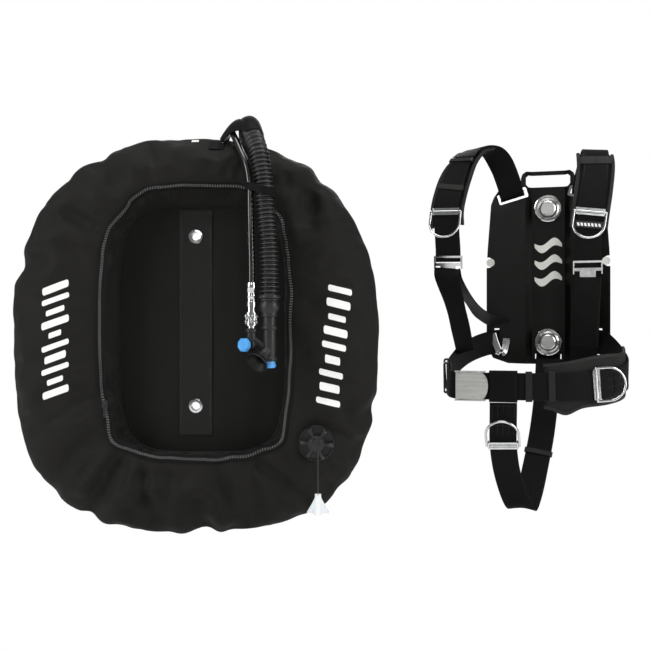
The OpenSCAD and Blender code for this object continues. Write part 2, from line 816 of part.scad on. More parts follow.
// A stud with a flat round knob. Its neck through the plate is a little thinner than the stud.
stud_reach = 24;
knob_r = 15.5;
knob_base = 12;
module thumbscrew(z) {
    knob_at = stud_reach + plate_t / 2 + 3;
    color(steel) on_harness()
        turned_forward([0, stud_reach, z]) {
            cylinder(r = bolt_r, h = stud_reach - plate_t / 2 - gap);
            cylinder(r = bolt_r - 0.4, h = knob_at + 3);
            translate([0, 0, knob_at]) cylinder(r1 = knob_base, r2 = knob_r, h = 2);
            translate([0, 0, knob_at + 2]) cylinder(r = knob_r, h = 8);
            translate([0, 0, knob_at + 10]) cylinder(r1 = knob_r, r2 = knob_r - 2, h = 1.5);
        }
}
module thumbscrew_upper() { thumbscrew(grommet_z[0]); }
module thumbscrew_lower() { thumbscrew(grommet_z[1]); }

// ---------- webbing routes, in the harness's own frame ----------
behind = plate_t / 2 + web_t / 2 + gap;
sx = shoulder_slot.x;
slot_y = plate_y(sx);
right_knots = [
    concat([-sx, slot_y + behind + 0.6, 120], flank_w(-1, 0)),
    concat([-sx, slot_y + behind + 0.8, 150], flank_w(-1, 0.2)),
    concat([-sx, slot_y + behind, 160.5], flank_w(-1, 0.3)),
    concat([-sx, slot_y, 166], flank_w(-1, 0.3)),
    [-73, slot_y - 4.5, 169.5, 1, 0.18, 0.3], [-75, slot_y - 9, 177, 1, 0.18, 0.3], [-80, -36, 196, 1, 0.1, 0.33], [-92, -40, 228, 0.95, 0, 0.32],
    [-108, -50, 252, 0.85, -0.35, 0.22], [-126, -68, 262, 0.75, -0.6, 0.05],
    [-148, -92, 254, 0.8, -0.6, 0], [-166, -117, 230, 0.9, -0.4, 0], [-177, -136, 197, 1, -0.2, 0],
    [-186, -150, 158, 1, -0.1, 0.05], [-191, -157, 122, 1, -0.08, 0.06],
    [-189, -160, 84, 1, -0.05, 0], [-187, -159, 48, 1, 0, 0], [-187, -156, 22, 1, 0, 0]
];
left_knots = [
    concat([sx, slot_y + behind + 0.6, 120], flank_w(1, 0)),
    concat([sx, slot_y + behind + 0.8, 150], flank_w(1, -0.2)),
    concat([sx, slot_y + behind, 160.5], flank_w(1, -0.3)),
    concat([sx, slot_y, 166], flank_w(1, -0.3)),
    [72.5, slot_y - 4.5, 169.5, 1, -0.18, -0.3], [74, slot_y - 9, 177, 1, -0.18, -0.27], [79, -37, 198, 1, -0.1, -0.2], [88, -46, 230, 1, 0, -0.1],
    [94, -66, 247, 1, 0.15, -0.06], [97, -92, 234, 1, 0.1, -0.05], [97, -110, 204, 1, 0, 0],
    [93, -127, 160, 1, 0, 0], [87, -138, 115, 1, 0, 0.03], [83, -139, 76, 1, 0, 0],
    [82, -136, 40, 1, 0, 0], [82, -132, 8, 1, 0, 0]
];
strap_steps = 4;
slide_knot_right = 14;
slide_knot_left = 12;
right_path = smooth(right_knots, strap_steps);
left_path = smooth(left_knots, strap_steps);
right_slide = slide_knot_right * strap_steps;
left_slide = slide_knot_left * strap_steps;
right_end = len(right_path) - 1;
left_end = len(left_path) - 1;
function part_of(v, from, to) = [for (i = [from:to]) v[i]];

module shoulder_web_right() {
    color(black_web) on_harness() strap(right_path, web_w, web_t);
}
module shoulder_web_left() {
    color(black_web) on_harness() strap(left_path, web_w, web_t);
}

// Pads lie on the wearer's side of the webs.
module shoulder_pads() {
    lift = web_t / 2 + bar_t + 3 * gap + pad_t / 2;
    color("#262626") on_harness() {
        strap(part_of(right_path, 9 * strap_steps, right_slide + 3), pad_w, pad_t, lift);
        strap(part_of(left_path, 8 * strap_steps + 2, left_slide + 3), pad_w + 4, pad_t, lift);
    }
}

// Below each adjuster the load web runs back to the plate and the free tail hangs.
// The right load web's end keeps one corner on its anchor at any web width.
load_end = [-95, -43, -100] + 0.65 * (25 - web_w / 2) * unit([-0.87, 0.43, -0.21]);
load_right_knots = [
    [-186, -151, 0, 1, 0, 0], [-178, -142, -15, 1, -0.3, 0.1], [-158, -120, -44, 0.8, -0.6, 0.3],
    [-134, -94, -76, 0.7, -0.6, 0.3], [-112, -66, -92, 0.9, -0.3, 0.2],
    [load_end.x - 4, load_end.y - 7, load_end.z + 2, 1, 0, 0.1], concat(load_end, [1, 0.1, 0.05])
];
tail_right_knots = [
    [-189, -164, -2, 1, -0.1, 0], [-184, -166, -22, 1, -0.35, 0.1], [-172, -170, -60, 0.85, -0.6, 0.2],
    [-160, -174, -110, 0.8, -0.6, 0.25], [-150, -178, -158, 0.75, -0.6, 0.3]
];
load_left_knots = [
    [82, -126, -10, 1, 0, 0], [81, -112, -40, 1, -0.05, 0], [79, -86, -84, 1, -0.1, 0],
    [78, -56, -118, 1, -0.15, 0], [77, -36, -138, 1, -0.18, 0], [77, -29, -149, 1, -0.18, 0]
];
tail_left_knots = [
    [82, -138, -12, 1, 0, 0], [80, -136, -50, 1, 0, 0], [77, -126, -100, 1, 0, 0],
    [74, -112, -144, 1, 0, 0]
];
module load_web_right() {
    color(black_web) on_harness() {
        strap(smooth(load_right_knots, 4), web_w, web_t);
        strap(smooth(tail_right_knots, 4), web_w, web_t);
    }
}
module load_web_left() {
    color(black_web) on_harness() {
        strap(smooth(load_left_knots, 4), web_w, web_t);
        strap(smooth(tail_left_knots, 4), web_w, web_t);
    }
}

// Flat anchors that hold the lower ends of the load webs to the plate.
module hip_anchors() {
    color(steel) on_harness() {
        translate([-92, plate_y(92) - plate_t / 2 - gap, -103.5]) rotate([0, 0, atan(flank_slope)])
            upright(-2.5, 2.5) cut_rect(58, 12, 3);
        translate([73, plate_y(73) - plate_t / 2 - gap, -156]) rotate([0, 0, -atan(flank_slope)])
            upright(-2.5, 2.5) cut_rect(46, 12, 3);
    }
}

// ---------- belt and crotch strap ----------
belt_knots = [
    [-90, -16, -139, 0, 0, 1], [-98, -19.5, -139, 0, 0, 1], [-104, -26.3, -139, 0, 0, 1],
    [-110, -34, -140, 0, 0, 1], [-122, -50, -143, 0.1, 0, 1], [-142, -80, -151, 0.1, 0, 1],
    [-160, -118, -163, 0, -0.15, 1], [-172, -160, -179, 0, -0.1, 1], [-178, -205, -195, 0, -0.05, 1],
    [-176, -240, -208, 0, 0, 1], [-166, -264, -215, 0, 0, 1], [-150, -275, -217, 0, 0, 1],
    [-130, -278, -217, 0, 0, 1], [-112, -278.5, -217, 0, 0, 1]
];
belt_left_knots = [
    [90, -16, -139, 0, 0, 1], [98, -19.5, -139, 0, 0, 1], [104, -26.3, -139, 0, 0, 1],
    [110, -34, -141, 0, 0, 1], [124, -54, -150, 0, 0, 1], [144, -98, -172, 0, 0, 1],
    [156, -150, -192, 0, 0, 1], [150, -190, -203, 0, 0, 1], [124, -228, -210, 0, 0, 1],
    [86, -254, -214, 0, 0, 1], [34, -271, -216, 0, 0, 1], [-20, -278, -217, 0, 0, 1],
    [-66, -279.5, -217, 0, 0, 1], [-110, -279.5, -217, 0, 0, 1]
];
belt_lap = web_t + gap;
belt_right = smooth(belt_knots, 4);
belt_left = smooth(belt_left_knots, 4);
module waist_web_right() {
    color(black_web) on_harness() strap(belt_right, web_w, web_t);
}
// The belt's free end comes back over itself from the buckle to the hip.
module waist_web_left() {
    color(black_web) on_harness() {
        strap(belt_left, web_w, web_t);
        strap(part_of(belt_left, hip_slide - 6, 48), web_w, web_t, belt_lap);
    }
}

module hip_pad() {
    color("#3c3c3c") on_harness()
        strap(part_of(belt_left, 22, 42), 78, 5, -(web_t / 2 + 4 + 2.5));
}

crotch_knots = [
    [-66, -281.5, -247, 1, 0, 0], [-66, -281, -262, 1, 0, 0], [-67, -274, -290, 1, 0, 0], [-68, -262, -327, 1, 0, 0.1], [-64, -240, -376, 1, 0, 0.1],
    [-54, -212, -424, 1, 0.1, 0.1], [-44, -188, -452, 1, 0.2, 0], [-36, -165, -456, 1, 0.2, -0.1],
    [-27, -138, -428, 1, 0.1, -0.2], [-19, -110, -385, 1, 0, -0.2], [-10, -80, -332, 1, 0, -0.15],
    [-4, -50, -276, 1, 0, -0.1], [-1, -30, -224, 1, 0, -0.05], [0, -17, -187, 1, 0, 0],
    [0, -7, -174, 1, 0, 0], [0, 0, -169.5, 1, 0, 0], [0, behind + 0.8, -163, 1, 0, 0],
    [0, behind + 1.2, -156, 1, 0, 0], [0, behind + 1.2, -148, 1, 0, 0]
];
crotch_path = smooth(crotch_knots, 4);
crotch_slide = 12;
module crotch_web() {
    color(black_web) on_harness() strap(crotch_path, web_w, web_t);
}

// ---------- hardware ----------
rail_x = web_w / 2 + 0.6;
rail_w = 2;
bar_near = web_t / 2 + gap;
bar_t = 3;
ring_pivot_y = -bar_near - 2.2;
function pivot_y(lap = 0) = ring_pivot_y - lap;
pin_r = ring_wire_r;
ring_leg_x = rail_x + rail_w + gap + ring_wire_r;

// Two rails, two front bars and a back bar that hold a web and a D-ring's straight side.
module d_ring_slide(lap = 0) {
    difference() {
        union() {
            for (s = [-1, 1])
                translate([s > 0 ? rail_x : -rail_x - rail_w, -bar_near - 4.6 - lap, -7])
                    cube([rail_w, 2 * bar_near + 4.6 + bar_t + lap, 14]);
            for (z = [-7, 3])
                translate([-rail_x - 0.1, -bar_near - bar_t - lap, z]) cube([2 * rail_x + 0.2, bar_t, 4]);
            translate([-rail_x - 0.1, bar_near, -2.5]) cube([2 * rail_x + 0.2, bar_t - 0.6, 5]);
        }
        translate([-rail_x - 10, pivot_y(lap), 0]) rotate([0, 90, 0])
            cylinder(r = pin_r + fit, h = 2 * rail_x + 20);
    }
}

// A D-ring: a straight side through the slide and a bow below it.
module d_ring(tilt, lap = 0) {
    bow_r = ring_leg_x;
    leg = ring_depth - bow_r;
    translate([0, pivot_y(lap), 0]) rotate([tilt, 0, 0]) {
        translate([-ring_leg_x, 0, 0]) rotate([0, 90, 0]) cylinder(r = pin_r, h = 2 * ring_leg_x);
        for (s = [-1, 1]) {
            translate([s * ring_leg_x, 0, 0]) sphere(r = ring_wire_r);
            translate([s * ring_leg_x, 0, -leg]) cylinder(r = ring_wire_r, h = leg);
        }
        translate([0, 0, -leg]) rotate([90, 0, 0]) rotate([0, 0, 180])
            rotate_extrude(angle = 180) translate([bow_r, 0]) circle(r = ring_wire_r);
    }
}

ring_tilt = -8;
hip_slide = 35;
module d_ring_slides() {
    color(steel) on_harness() {
        on_web(right_path, right_slide) d_ring_slide();
        on_web(left_path, left_slide) d_ring_slide();
        on_web(crotch_path, crotch_slide) rotate([0, 180, 0]) d_ring_slide();
        on_web(belt_left, hip_slide) rotate([180, 0, 0]) d_ring_slide(belt_lap);
    }
}
module d_ring_right() {
    color(steel) on_harness() on_web(right_path, right_slide) d_ring(ring_tilt);
}
module d_ring_left() {
    color(steel) on_harness() on_web(left_path, left_slide) d_ring(ring_tilt);
}
module d_ring_crotch() {
    color(steel) on_harness() on_web(crotch_path, crotch_slide) rotate([0, 180, 0]) d_ring(ring_tilt);
}
module d_ring_hip() {
    color(steel) on_harness() on_web(belt_left, hip_slide) rotate([180, 0, 0]) d_ring(ring_tilt, belt_lap);
}

// Strap adjusters: a fixed frame with two bars, and a tab that tips to let the web run.
module adjuster() {
    difference() {
        union() {
            for (s = [-1, 1])
                translate([s > 0 ? rail_x : -rail_x - rail_w, -bar_near - 4.6, -18])
                    cube([rail_w, 2 * bar_near + 4.6 + bar_t, 26]);
            translate([-rail_x - 0.1, -bar_near - 4, 4]) cube([2 * rail_x + 0.2, bar_t, 4]);
            translate([-rail_x - 0.1, bar_near, -3]) cube([2 * rail_x + 0.2, bar_t - 0.6, 4]);
        }
        translate([-rail_x - 10, ring_pivot_y, -8]) rotate([0, 90, 0])
            cylinder(r = 1.5 + fit, h = 2 * rail_x + 20);
    }
}
module adjuster_tab() {
    translate([0, ring_pivot_y, -8]) {
        translate([-rail_x - rail_w, 0, 0]) rotate([0, 90, 0])
            cylinder(r = 1.5, h = 2 * (rail_x + rail_w));
        translate([-rail_x + gap, -2, -4]) cube([2 * rail_x - 2 * gap, 3, 6]);
        translate([-15, -2, -16]) cube([30, 2.4, 13]);
    }
}
right_adjuster = right_end - 1;
left_adjuster = left_end - 1;
module adjusters() {
    color(steel) on_harness() {
        on_web(right_path, right_adjuster) adjuster();
        on_web(left_path, left_adjuster) adjuster();
    }
}
module adjuster_tab_right() {
    color(steel) on_harness() on_web(right_path, right_adjuster) adjuster_tab();
}
module adjuster_tab_left() {
    color(steel) on_harness() on_web(left_path, left_adjuster) adjuster_tab();
}

// ---------- belt buckle ----------
buckle_at = [-124, -279, -217];
lever_w = 62;
lever_h = web_w;
lever_y = -6.4;
module at_buckle() {
    on_harness() translate(buckle_at) children();
}
module buckle_frame() {
    color(steel) at_buckle()
        difference() {
            union() {
                for (s = [-1, 1])
                    translate([-lever_w / 2, -8, s > 0 ? web_w / 2 + 0.6 : -web_w / 2 - 2.6])
                        cube([lever_w - 6, 14, 2]);
                translate([-8, 2.5 + web_t, -web_w / 2 - 2]) cube([6, 2, web_w + 4]);
            }
            translate([-lever_w / 2 + 4, lever_y + 1, -40]) cylinder(r = 1.6 + fit, h = 80);
        }
}
module buckle_lever() {
    color("#d6d8d6") at_buckle() {
        translate([-lever_w / 2 + 4, lever_y + 1, -web_w / 2 - 2.6]) cylinder(r = 1.6, h = web_w + 5.2);
        translate([-lever_w / 2 + 4, lever_y, -lever_h / 2 + 0.2])
            cube([6, 2.6, lever_h - 0.4]);
        translate([-lever_w / 2 + 2, lever_y - 2.6, -lever_h / 2 + 0.2]) {
            cube([lever_w - 16, 2.4, lever_h - 0.4]);
            translate([lever_w - 16, 2.4, lever_h / 2 - 0.2]) rotate([90, 0, 0])
                linear_extrude(2.4) intersection() {
                    scale([0.55, 1]) circle(r = lever_h / 2 - 0.2);
                    translate([-0.1, -lever_h / 2]) square([40, lever_h]);
                }
        }
    }
}

// Loops that keep the belt's free end and the crotch strap's loop.
module keeper(path, i, w, lap = 0) {
    on_web(path, i)
        linear_extrude(w, center = true)
            translate([0, lap / 2])
                difference() {
                    square([web_w + 4.2, web_t + lap + 4], center = true);
                    square([web_w + 1.2, web_t + lap + 1], center = true);
                }
}
module web_keepers() {
    color("#1e1e1e") on_harness() {
        keeper(belt_left, 41, 12, belt_lap);
        keeper(belt_left, 44, 12, belt_lap);
        keeper(crotch_path, 38, 10);
        translate([-66, -281.5, -217])
            difference() {
                cube([web_w + 2, 12, web_w + 8], center = true);
                cube([web_w + 8, 8, web_w + 2], center = true);
            }
    }
}

cover_front();
cover_back();
bladder();
center_panel();
bolt_sleeve();
grommets();
zipper();
zip_slider();
elbow_base();
elbow();
corrugated_hose();
hose_ties();
hose_wrap();
hose_band();
inflator_body();
mouthpiece();
air_nipple();
inflate_button();
inflate_spring();
deflate_button();
deflate_spring();
coupling_body();
coupling_sleeve();
lp_hose();
regulator_fitting();
dump_base();
dump_cap();
dump_poppet();
dump_spring();
pull_cord();
pull_knob();
gaskets();
backplate();
strap_frames();
edge_eyelets();
bolt_cups();
thumbscrew_upper();
thumbscrew_lower();
shoulder_pads();
shoulder_web_right();
shoulder_web_left();
load_web_right();
load_web_left();
d_ring_slides();
d_ring_right();
d_ring_left();
d_ring_hip();
d_ring_crotch();
adjusters();
adjuster_tab_right();
adjuster_tab_left();
hip_anchors();
waist_web_right();
waist_web_left();
buckle_frame();
buckle_lever();
web_keepers();
hip_pad();
crotch_web();
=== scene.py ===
import json
import math
import bpy
import bmesh
from mathutils import Matrix, Vector, noise
from mathutils.bvhtree import BVHTree

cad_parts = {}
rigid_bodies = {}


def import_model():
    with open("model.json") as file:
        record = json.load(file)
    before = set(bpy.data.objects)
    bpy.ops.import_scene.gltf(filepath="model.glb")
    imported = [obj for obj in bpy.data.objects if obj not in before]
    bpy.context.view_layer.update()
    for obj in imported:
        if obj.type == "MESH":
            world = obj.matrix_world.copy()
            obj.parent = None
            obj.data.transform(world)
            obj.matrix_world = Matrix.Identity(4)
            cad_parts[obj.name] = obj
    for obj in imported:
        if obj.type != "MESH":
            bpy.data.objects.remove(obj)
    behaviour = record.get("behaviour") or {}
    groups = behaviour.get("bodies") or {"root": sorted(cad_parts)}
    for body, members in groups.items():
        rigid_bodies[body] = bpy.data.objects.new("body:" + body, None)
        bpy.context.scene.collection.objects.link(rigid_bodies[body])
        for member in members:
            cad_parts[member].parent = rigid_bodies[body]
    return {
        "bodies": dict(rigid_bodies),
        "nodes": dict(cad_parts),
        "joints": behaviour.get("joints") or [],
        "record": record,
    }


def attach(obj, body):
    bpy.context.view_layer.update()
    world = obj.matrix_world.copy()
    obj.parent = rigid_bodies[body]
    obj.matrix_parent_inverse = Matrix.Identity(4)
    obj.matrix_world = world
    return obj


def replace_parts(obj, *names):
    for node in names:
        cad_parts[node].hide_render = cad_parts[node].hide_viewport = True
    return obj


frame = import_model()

scene = bpy.context.scene
nodes = frame["nodes"]
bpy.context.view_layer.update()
mm = 0.001

# the harness has its own frame: x across the plate, -y towards the chest, z up
harnessPlace = Matrix.Translation((0.682, 0.433, 0.098)) @ Matrix.Rotation(math.radians(-16), 4, "Z")


# small tools
def deselectAll():
    if bpy.context.mode != "OBJECT":
        bpy.ops.object.mode_set(mode="OBJECT")
    bpy.ops.object.select_all(action="DESELECT")


def pick(piece):
    deselectAll()
    piece.select_set(True)
    bpy.context.view_layer.objects.active = piece
    return piece


def addModifier(piece, kind, **settings):
    # adds one modifier with its settings and applies it
    pick(piece)
    modifier = piece.modifiers.new(kind.lower(), kind)
    for key, value in settings.items():
        setattr(modifier, key, value)
    bpy.ops.object.modifier_apply(modifier=modifier.name)
    return piece


def settle(piece, name, body, material, place=None, smooth=40):
    # names a finished piece, puts its place in its mesh and hangs it on its body
    pick(piece)
    piece.name = name
    piece.data.name = name
    bpy.ops.object.transform_apply(location=True, rotation=True, scale=True)
    if place is not None:
        piece.data.transform(place)
    piece.data.materials.clear()
    piece.data.materials.append(material)
    if smooth:
        bpy.ops.object.shade_smooth_by_angle(angle=math.radians(smooth))
    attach(piece, body)
    return piece


def selectFaces(piece, wanted):
    # leaves edit mode on with only the wanted faces selected
    pick(piece)
    bpy.ops.object.mode_set(mode="EDIT")
    bpy.ops.mesh.select_mode(type="FACE")
    bpy.ops.mesh.select_all(action="DESELECT")
    mesh = bmesh.from_edit_mesh(piece.data)
    for face in mesh.faces:
        face.select = bool(wanted(face))
    bmesh.update_edit_mesh(piece.data)


def selectEdges(piece, wanted):
    pick(piece)
    bpy.ops.object.mode_set(mode="EDIT")
    bpy.ops.mesh.select_mode(type="EDGE")
    bpy.ops.mesh.select_all(action="DESELECT")
    mesh = bmesh.from_edit_mesh(piece.data)
    for edge in mesh.edges:
        edge.select = bool(wanted(edge))
    bmesh.update_edit_mesh(piece.data)


def objectMode():
    bpy.ops.object.mode_set(mode="OBJECT")


def faceOutwards(piece):
    selectFaces(piece, lambda face: True)
    bpy.ops.mesh.normals_make_consistent(inside=False)
    objectMode()


def bevelEdges(piece, width, segments, wanted):
    selectEdges(piece, wanted)
    bpy.ops.mesh.bevel(offset=width, segments=segments, affect="EDGES")
    objectMode()


def bevelAll(piece, width, segments):
    selectFaces(piece, lambda face: True)
    bpy.ops.mesh.bevel(offset=width, segments=segments, affect="EDGES")
    objectMode()


def block(size, place, turn):
    # a cube drawn out to its size in millimetres, set in its place and turned about z
    deselectAll()
    bpy.ops.mesh.primitive_cube_add(size=1)
    piece = bpy.context.object
    piece.scale = [v * mm for v in size]
    piece.location = [v * mm for v in place]
    piece.rotation_euler = (0, 0, turn)
    pick(piece)
    bpy.ops.object.transform_apply(location=True, rotation=True, scale=True)
    return piece


def joined(pieces):
    deselectAll()
    for piece in pieces:
        piece.select_set(True)
    bpy.context.view_layer.objects.active = pieces[0]
    if len(pieces) > 1:
        bpy.ops.object.join()
    return pieces[0]


def sheetMesh(name, rows, roundRow=False, roundRows=False, capEnds=False, texture=None):
    # a mesh through rows of points; texture gives each point's flat cloth coordinates in metres
    count = len(rows[0])
    points = [p for row in rows for p in row]
    faces = []
    corners = []
    for i in range(len(rows) if roundRows else len(rows) - 1):
        for k in range(count if roundRow else count - 1):
            a, b = i % len(rows), (i + 1) % len(rows)
            j = (k + 1) % count
            faces.append((a * count + k, a * count + j, b * count + j, b * count + k))
            corners.append(((i, k), (i, k + 1), (i + 1, k + 1), (i + 1, k)))
    if capEnds:
        last = (len(rows) - 1) * count
        faces.append(tuple(range(count - 1, -1, -1)))
        corners.append(tuple((0, k) for k in range(count - 1, -1, -1)))
        faces.append(tuple(last + k for k in range(count)))
        corners.append(tuple((len(rows) - 1, k) for k in range(count)))
    mesh = bpy.data.meshes.new(name)
    mesh.from_pydata([tuple(p) for p in points], [], faces)
    if texture:
        layer = mesh.uv_layers.new(name="cloth")
        flat = [c for face in corners for c in face]
        for loop, (i, k) in zip(layer.data, flat):
            loop.uv = texture(i, k)
    mesh.update()
    piece = bpy.data.objects.new(name, mesh)
    scene.collection.objects.link(piece)
    return piece


def smoothPath(knots, steps):
    # a smooth curve through the knots
    path = []
    for i in range(len(knots) - 1):
        a, b, c, d = (Vector(knots[max(0, min(len(knots) - 1, i + k))]) for k in (-1, 0, 1, 2))
        for k in range(steps):
            t = k / steps
            path.append(0.5 * (2 * b + (c - a) * t + (2 * a - 5 * b + 4 * c - d) * t * t
                               + (3 * b - a - 3 * c + d) * t ** 3))
    path.append(Vector(knots[-1]))
    return path


def evenPath(path, spacing):
    # the same line with points at even distances
    lengths = [0.0]
    for a, b in zip(path, path[1:]):
        lengths.append(lengths[-1] + (b - a).length)
    count = max(2, round(lengths[-1] / spacing))
    made, k = [], 0
    for i in range(count + 1):
        want = lengths[-1] * i / count
        while k < len(path) - 2 and lengths[k + 1] < want:
            k += 1
        span = lengths[k + 1] - lengths[k]
        made.append(path[k].lerp(path[k + 1], (want - lengths[k]) / span if span else 0))
    return made


def pathLength(path):
    return sum((b - a).length for a, b in zip(path, path[1:]))


def tangentAt(path, i):
    return (path[min(i + 1, len(path) - 1)] - path[max(i - 1, 0)]).normalized()


def tubeRows(path, radius, count):
    # rings round a path that don't twist; radius is a function of the point's number
    t = tangentAt(path, 0)
    side = t.cross(Vector((0, 0, 1)) if abs(t.z) < 0.9 else Vector((0, 1, 0))).normalized()
    rows = []
    for i in range(len(path)):
        t = tangentAt(path, i)
        side = (side - side.dot(t) * t).normalized()
        other = t.cross(side)
        r = radius(i)
        rows.append([path[i] + r * (math.cos(2 * math.pi * k / count) * side
                                    + math.sin(2 * math.pi * k / count) * other)
                     for k in range(count)])
    return rows


def turned(name, profile, count=48, closed=False):
    # a turned part round +Z from (radius, height) pairs in millimetres
    rows = [[Vector((r * mm * math.cos(2 * math.pi * k / count), r * mm * math.sin(2 * math.pi * k / count),
                     h * mm))
             for k in range(count)] for r, h in profile]
    return sheetMesh(name, rows, roundRow=True, roundRows=closed, capEnds=not closed)


def pointing(origin, direction):
    # a place whose +Z looks along a direction
    return Matrix.Translation(origin) @ Vector(direction).to_track_quat("Z", "Y").to_matrix().to_4x4()


# camera
cameraSettings = {"place": (0.213, -1.6, -0.006), "lens": 53.6}
bpy.ops.object.camera_add(location=cameraSettings["place"], rotation=(math.radians(90), 0, 0))
camera = bpy.context.object
camera.name = "camera"
camera.data.lens = cameraSettings["lens"]
camera.data.sensor_width = 36
scene.camera = camera
print("camera is set")


# materials
def linear(hexColour):
    parts = [int(hexColour[i:i + 2], 16) / 255 for i in (1, 3, 5)]
    return tuple(c / 12.92 if c <= 0.04045 else ((c + 0.055) / 1.055) ** 2.4 for c in parts) + (1.0,)


def addNode(tree, kind, settings=None, output=0):
    # adds one node; lower-case settings are its own, the rest are sockets to set or link
    node = tree.nodes.new("ShaderNode" + kind)
    for key, value in (settings or {}).items():
        if isinstance(key, str) and key[0].islower():
            setattr(node, key, value)
        elif isinstance(value, bpy.types.NodeSocket):
            tree.links.new(value, node.inputs[key])
        else:
            node.inputs[key].default_value = value
    return node.outputs[output]


def newMaterial(name, **shader):
    # a material with its main shader's own sockets set
    material = bpy.data.materials.new(name)
    material.use_nodes = True
    tree = material.node_tree
    main = tree.nodes["Principled BSDF"]
    for key, value in shader.items():
        main.inputs[key.replace("_", " ")].default_value = value
    return material, tree, main


def wovenCloth(name, dark, light, threadMm, depthMm, rough):
    # coated nylon cloth, plain woven: a matt face with a grid of small raised threads
    material, tree, main = newMaterial(name, Roughness=rough, Sheen_Weight=0.03, Sheen_Roughness=0.4,
                                       Specular_IOR_Level=0.14)
    place = addNode(tree, "TexCoord", output="Object")
    x, y, z = addNode(tree, "SeparateXYZ", {"Vector": place}).node.outputs
    waves = []
    for way in (x, z):
        # depth is added so that faces seen edge on are woven too
        run = addNode(tree, "Math", {"operation": "ADD", 0: way, 1: y})
        phase = addNode(tree, "Math", {"operation": "MULTIPLY", 0: run, 1: math.pi / (threadMm * mm)})
        waves.append(addNode(tree, "Math", {"operation": "SINE", 0: phase}))
    weave = addNode(tree, "Math", {"operation": "MULTIPLY", 0: waves[0], 1: waves[1]})
    lift = addNode(tree, "Math", {"operation": "MULTIPLY_ADD", 0: weave, 1: 0.5, 2: 0.5})
    cloud = addNode(tree, "TexNoise", {"Scale": 9.0, "Detail": 5.0, "Roughness": 0.6, "Vector": place})
    fleck = addNode(tree, "TexNoise", {"Scale": 420.0, "Detail": 2.0, "Roughness": 0.55, "Vector": place})
    swell = addNode(tree, "TexNoise", {"Scale": 55.0, "Detail": 4.0, "Roughness": 0.55, "Vector": place})
    tone = 0.0
    for part, share in ((fleck, 0.25), (lift, 0.25), (cloud, 0.55)):
        tone = addNode(tree, "Math", {"operation": "MULTIPLY_ADD", 0: part, 1: share, 2: tone})
    colour = addNode(tree, "Mix", {"data_type": "RGBA", 0: tone, 6: linear(dark), 7: linear(light)}, 2)
    soft = addNode(tree, "Bump", {"Strength": 0.5, "Distance": 0.0012, "Height": swell})
    threads = addNode(tree, "Bump", {"Strength": 0.7, "Distance": depthMm * mm, "Height": lift,
                                     "Normal": soft})
    tree.links.new(colour, main.inputs["Base Color"])
    tree.links.new(threads, main.inputs["Normal"])
    return material


def ribbedWeb(name, dark, light, rough, widthMm):
    # woven nylon webbing: herringbone ribs along it and a tight, smooth selvedge on both edges
    material, tree, main = newMaterial(name, Roughness=rough, Sheen_Weight=0.015, Sheen_Roughness=0.4,
                                       Specular_IOR_Level=0.09)
    place = addNode(tree, "TexCoord", output="Object")
    across, along = addNode(tree, "SeparateXYZ", {"Vector": place.node.outputs["UV"]}).node.outputs[:2]
    shifted = addNode(tree, "Math", {"operation": "ADD", 0: across, 1: 1.0})
    zigzag = addNode(tree, "Math", {"operation": "PINGPONG", 0: shifted, 1: 4 * mm})
    slanted = addNode(tree, "Math", {"operation": "MULTIPLY_ADD", 0: zigzag, 1: 0.8, 2: along})
    ribs = []
    for run, pitchMm in ((slanted, 1.9), (across, 2.2)):
        phase = addNode(tree, "Math", {"operation": "MULTIPLY", 0: run, 1: 2 * math.pi / (pitchMm * mm)})
        wave = addNode(tree, "Math", {"operation": "SINE", 0: phase})
        ribs.append(addNode(tree, "Math", {"operation": "MULTIPLY_ADD", 0: wave, 1: 0.5, 2: 0.5}))
    fromMiddle = addNode(tree, "Math", {"operation": "ABSOLUTE", 0: across})
    edge = addNode(tree, "Math", {"operation": "GREATER_THAN", 0: fromMiddle, 1: (widthMm / 2 - 2.4) * mm})
    flatter = addNode(tree, "Math", {"operation": "MULTIPLY_ADD", 0: edge, 1: -0.55, 2: 1.0})
    cords = addNode(tree, "Math", {"operation": "MULTIPLY", 0: ribs[1], 1: 0.35})
    raised = addNode(tree, "Math", {"operation": "MULTIPLY_ADD", 0: ribs[0], 1: 0.65, 2: cords})
    height = addNode(tree, "Math", {"operation": "MULTIPLY", 0: raised, 1: flatter})
    cloud = addNode(tree, "TexNoise", {"Scale": 26.0, "Detail": 4.0, "Roughness": 0.55, "Vector": place})
    tone = 0.0
    for part, share in ((edge, 0.25), (height, 0.4), (cloud, 0.5)):
        tone = addNode(tree, "Math", {"operation": "MULTIPLY_ADD", 0: part, 1: share, 2: tone})
    colour = addNode(tree, "Mix", {"data_type": "RGBA", 0: tone, 6: linear(dark), 7: linear(light)}, 2)
    bump = addNode(tree, "Bump", {"Strength": 0.8, "Distance": 0.00035, "Height": height})
    tree.links.new(colour, main.inputs["Base Color"])
    tree.links.new(bump, main.inputs["Normal"])
    return material


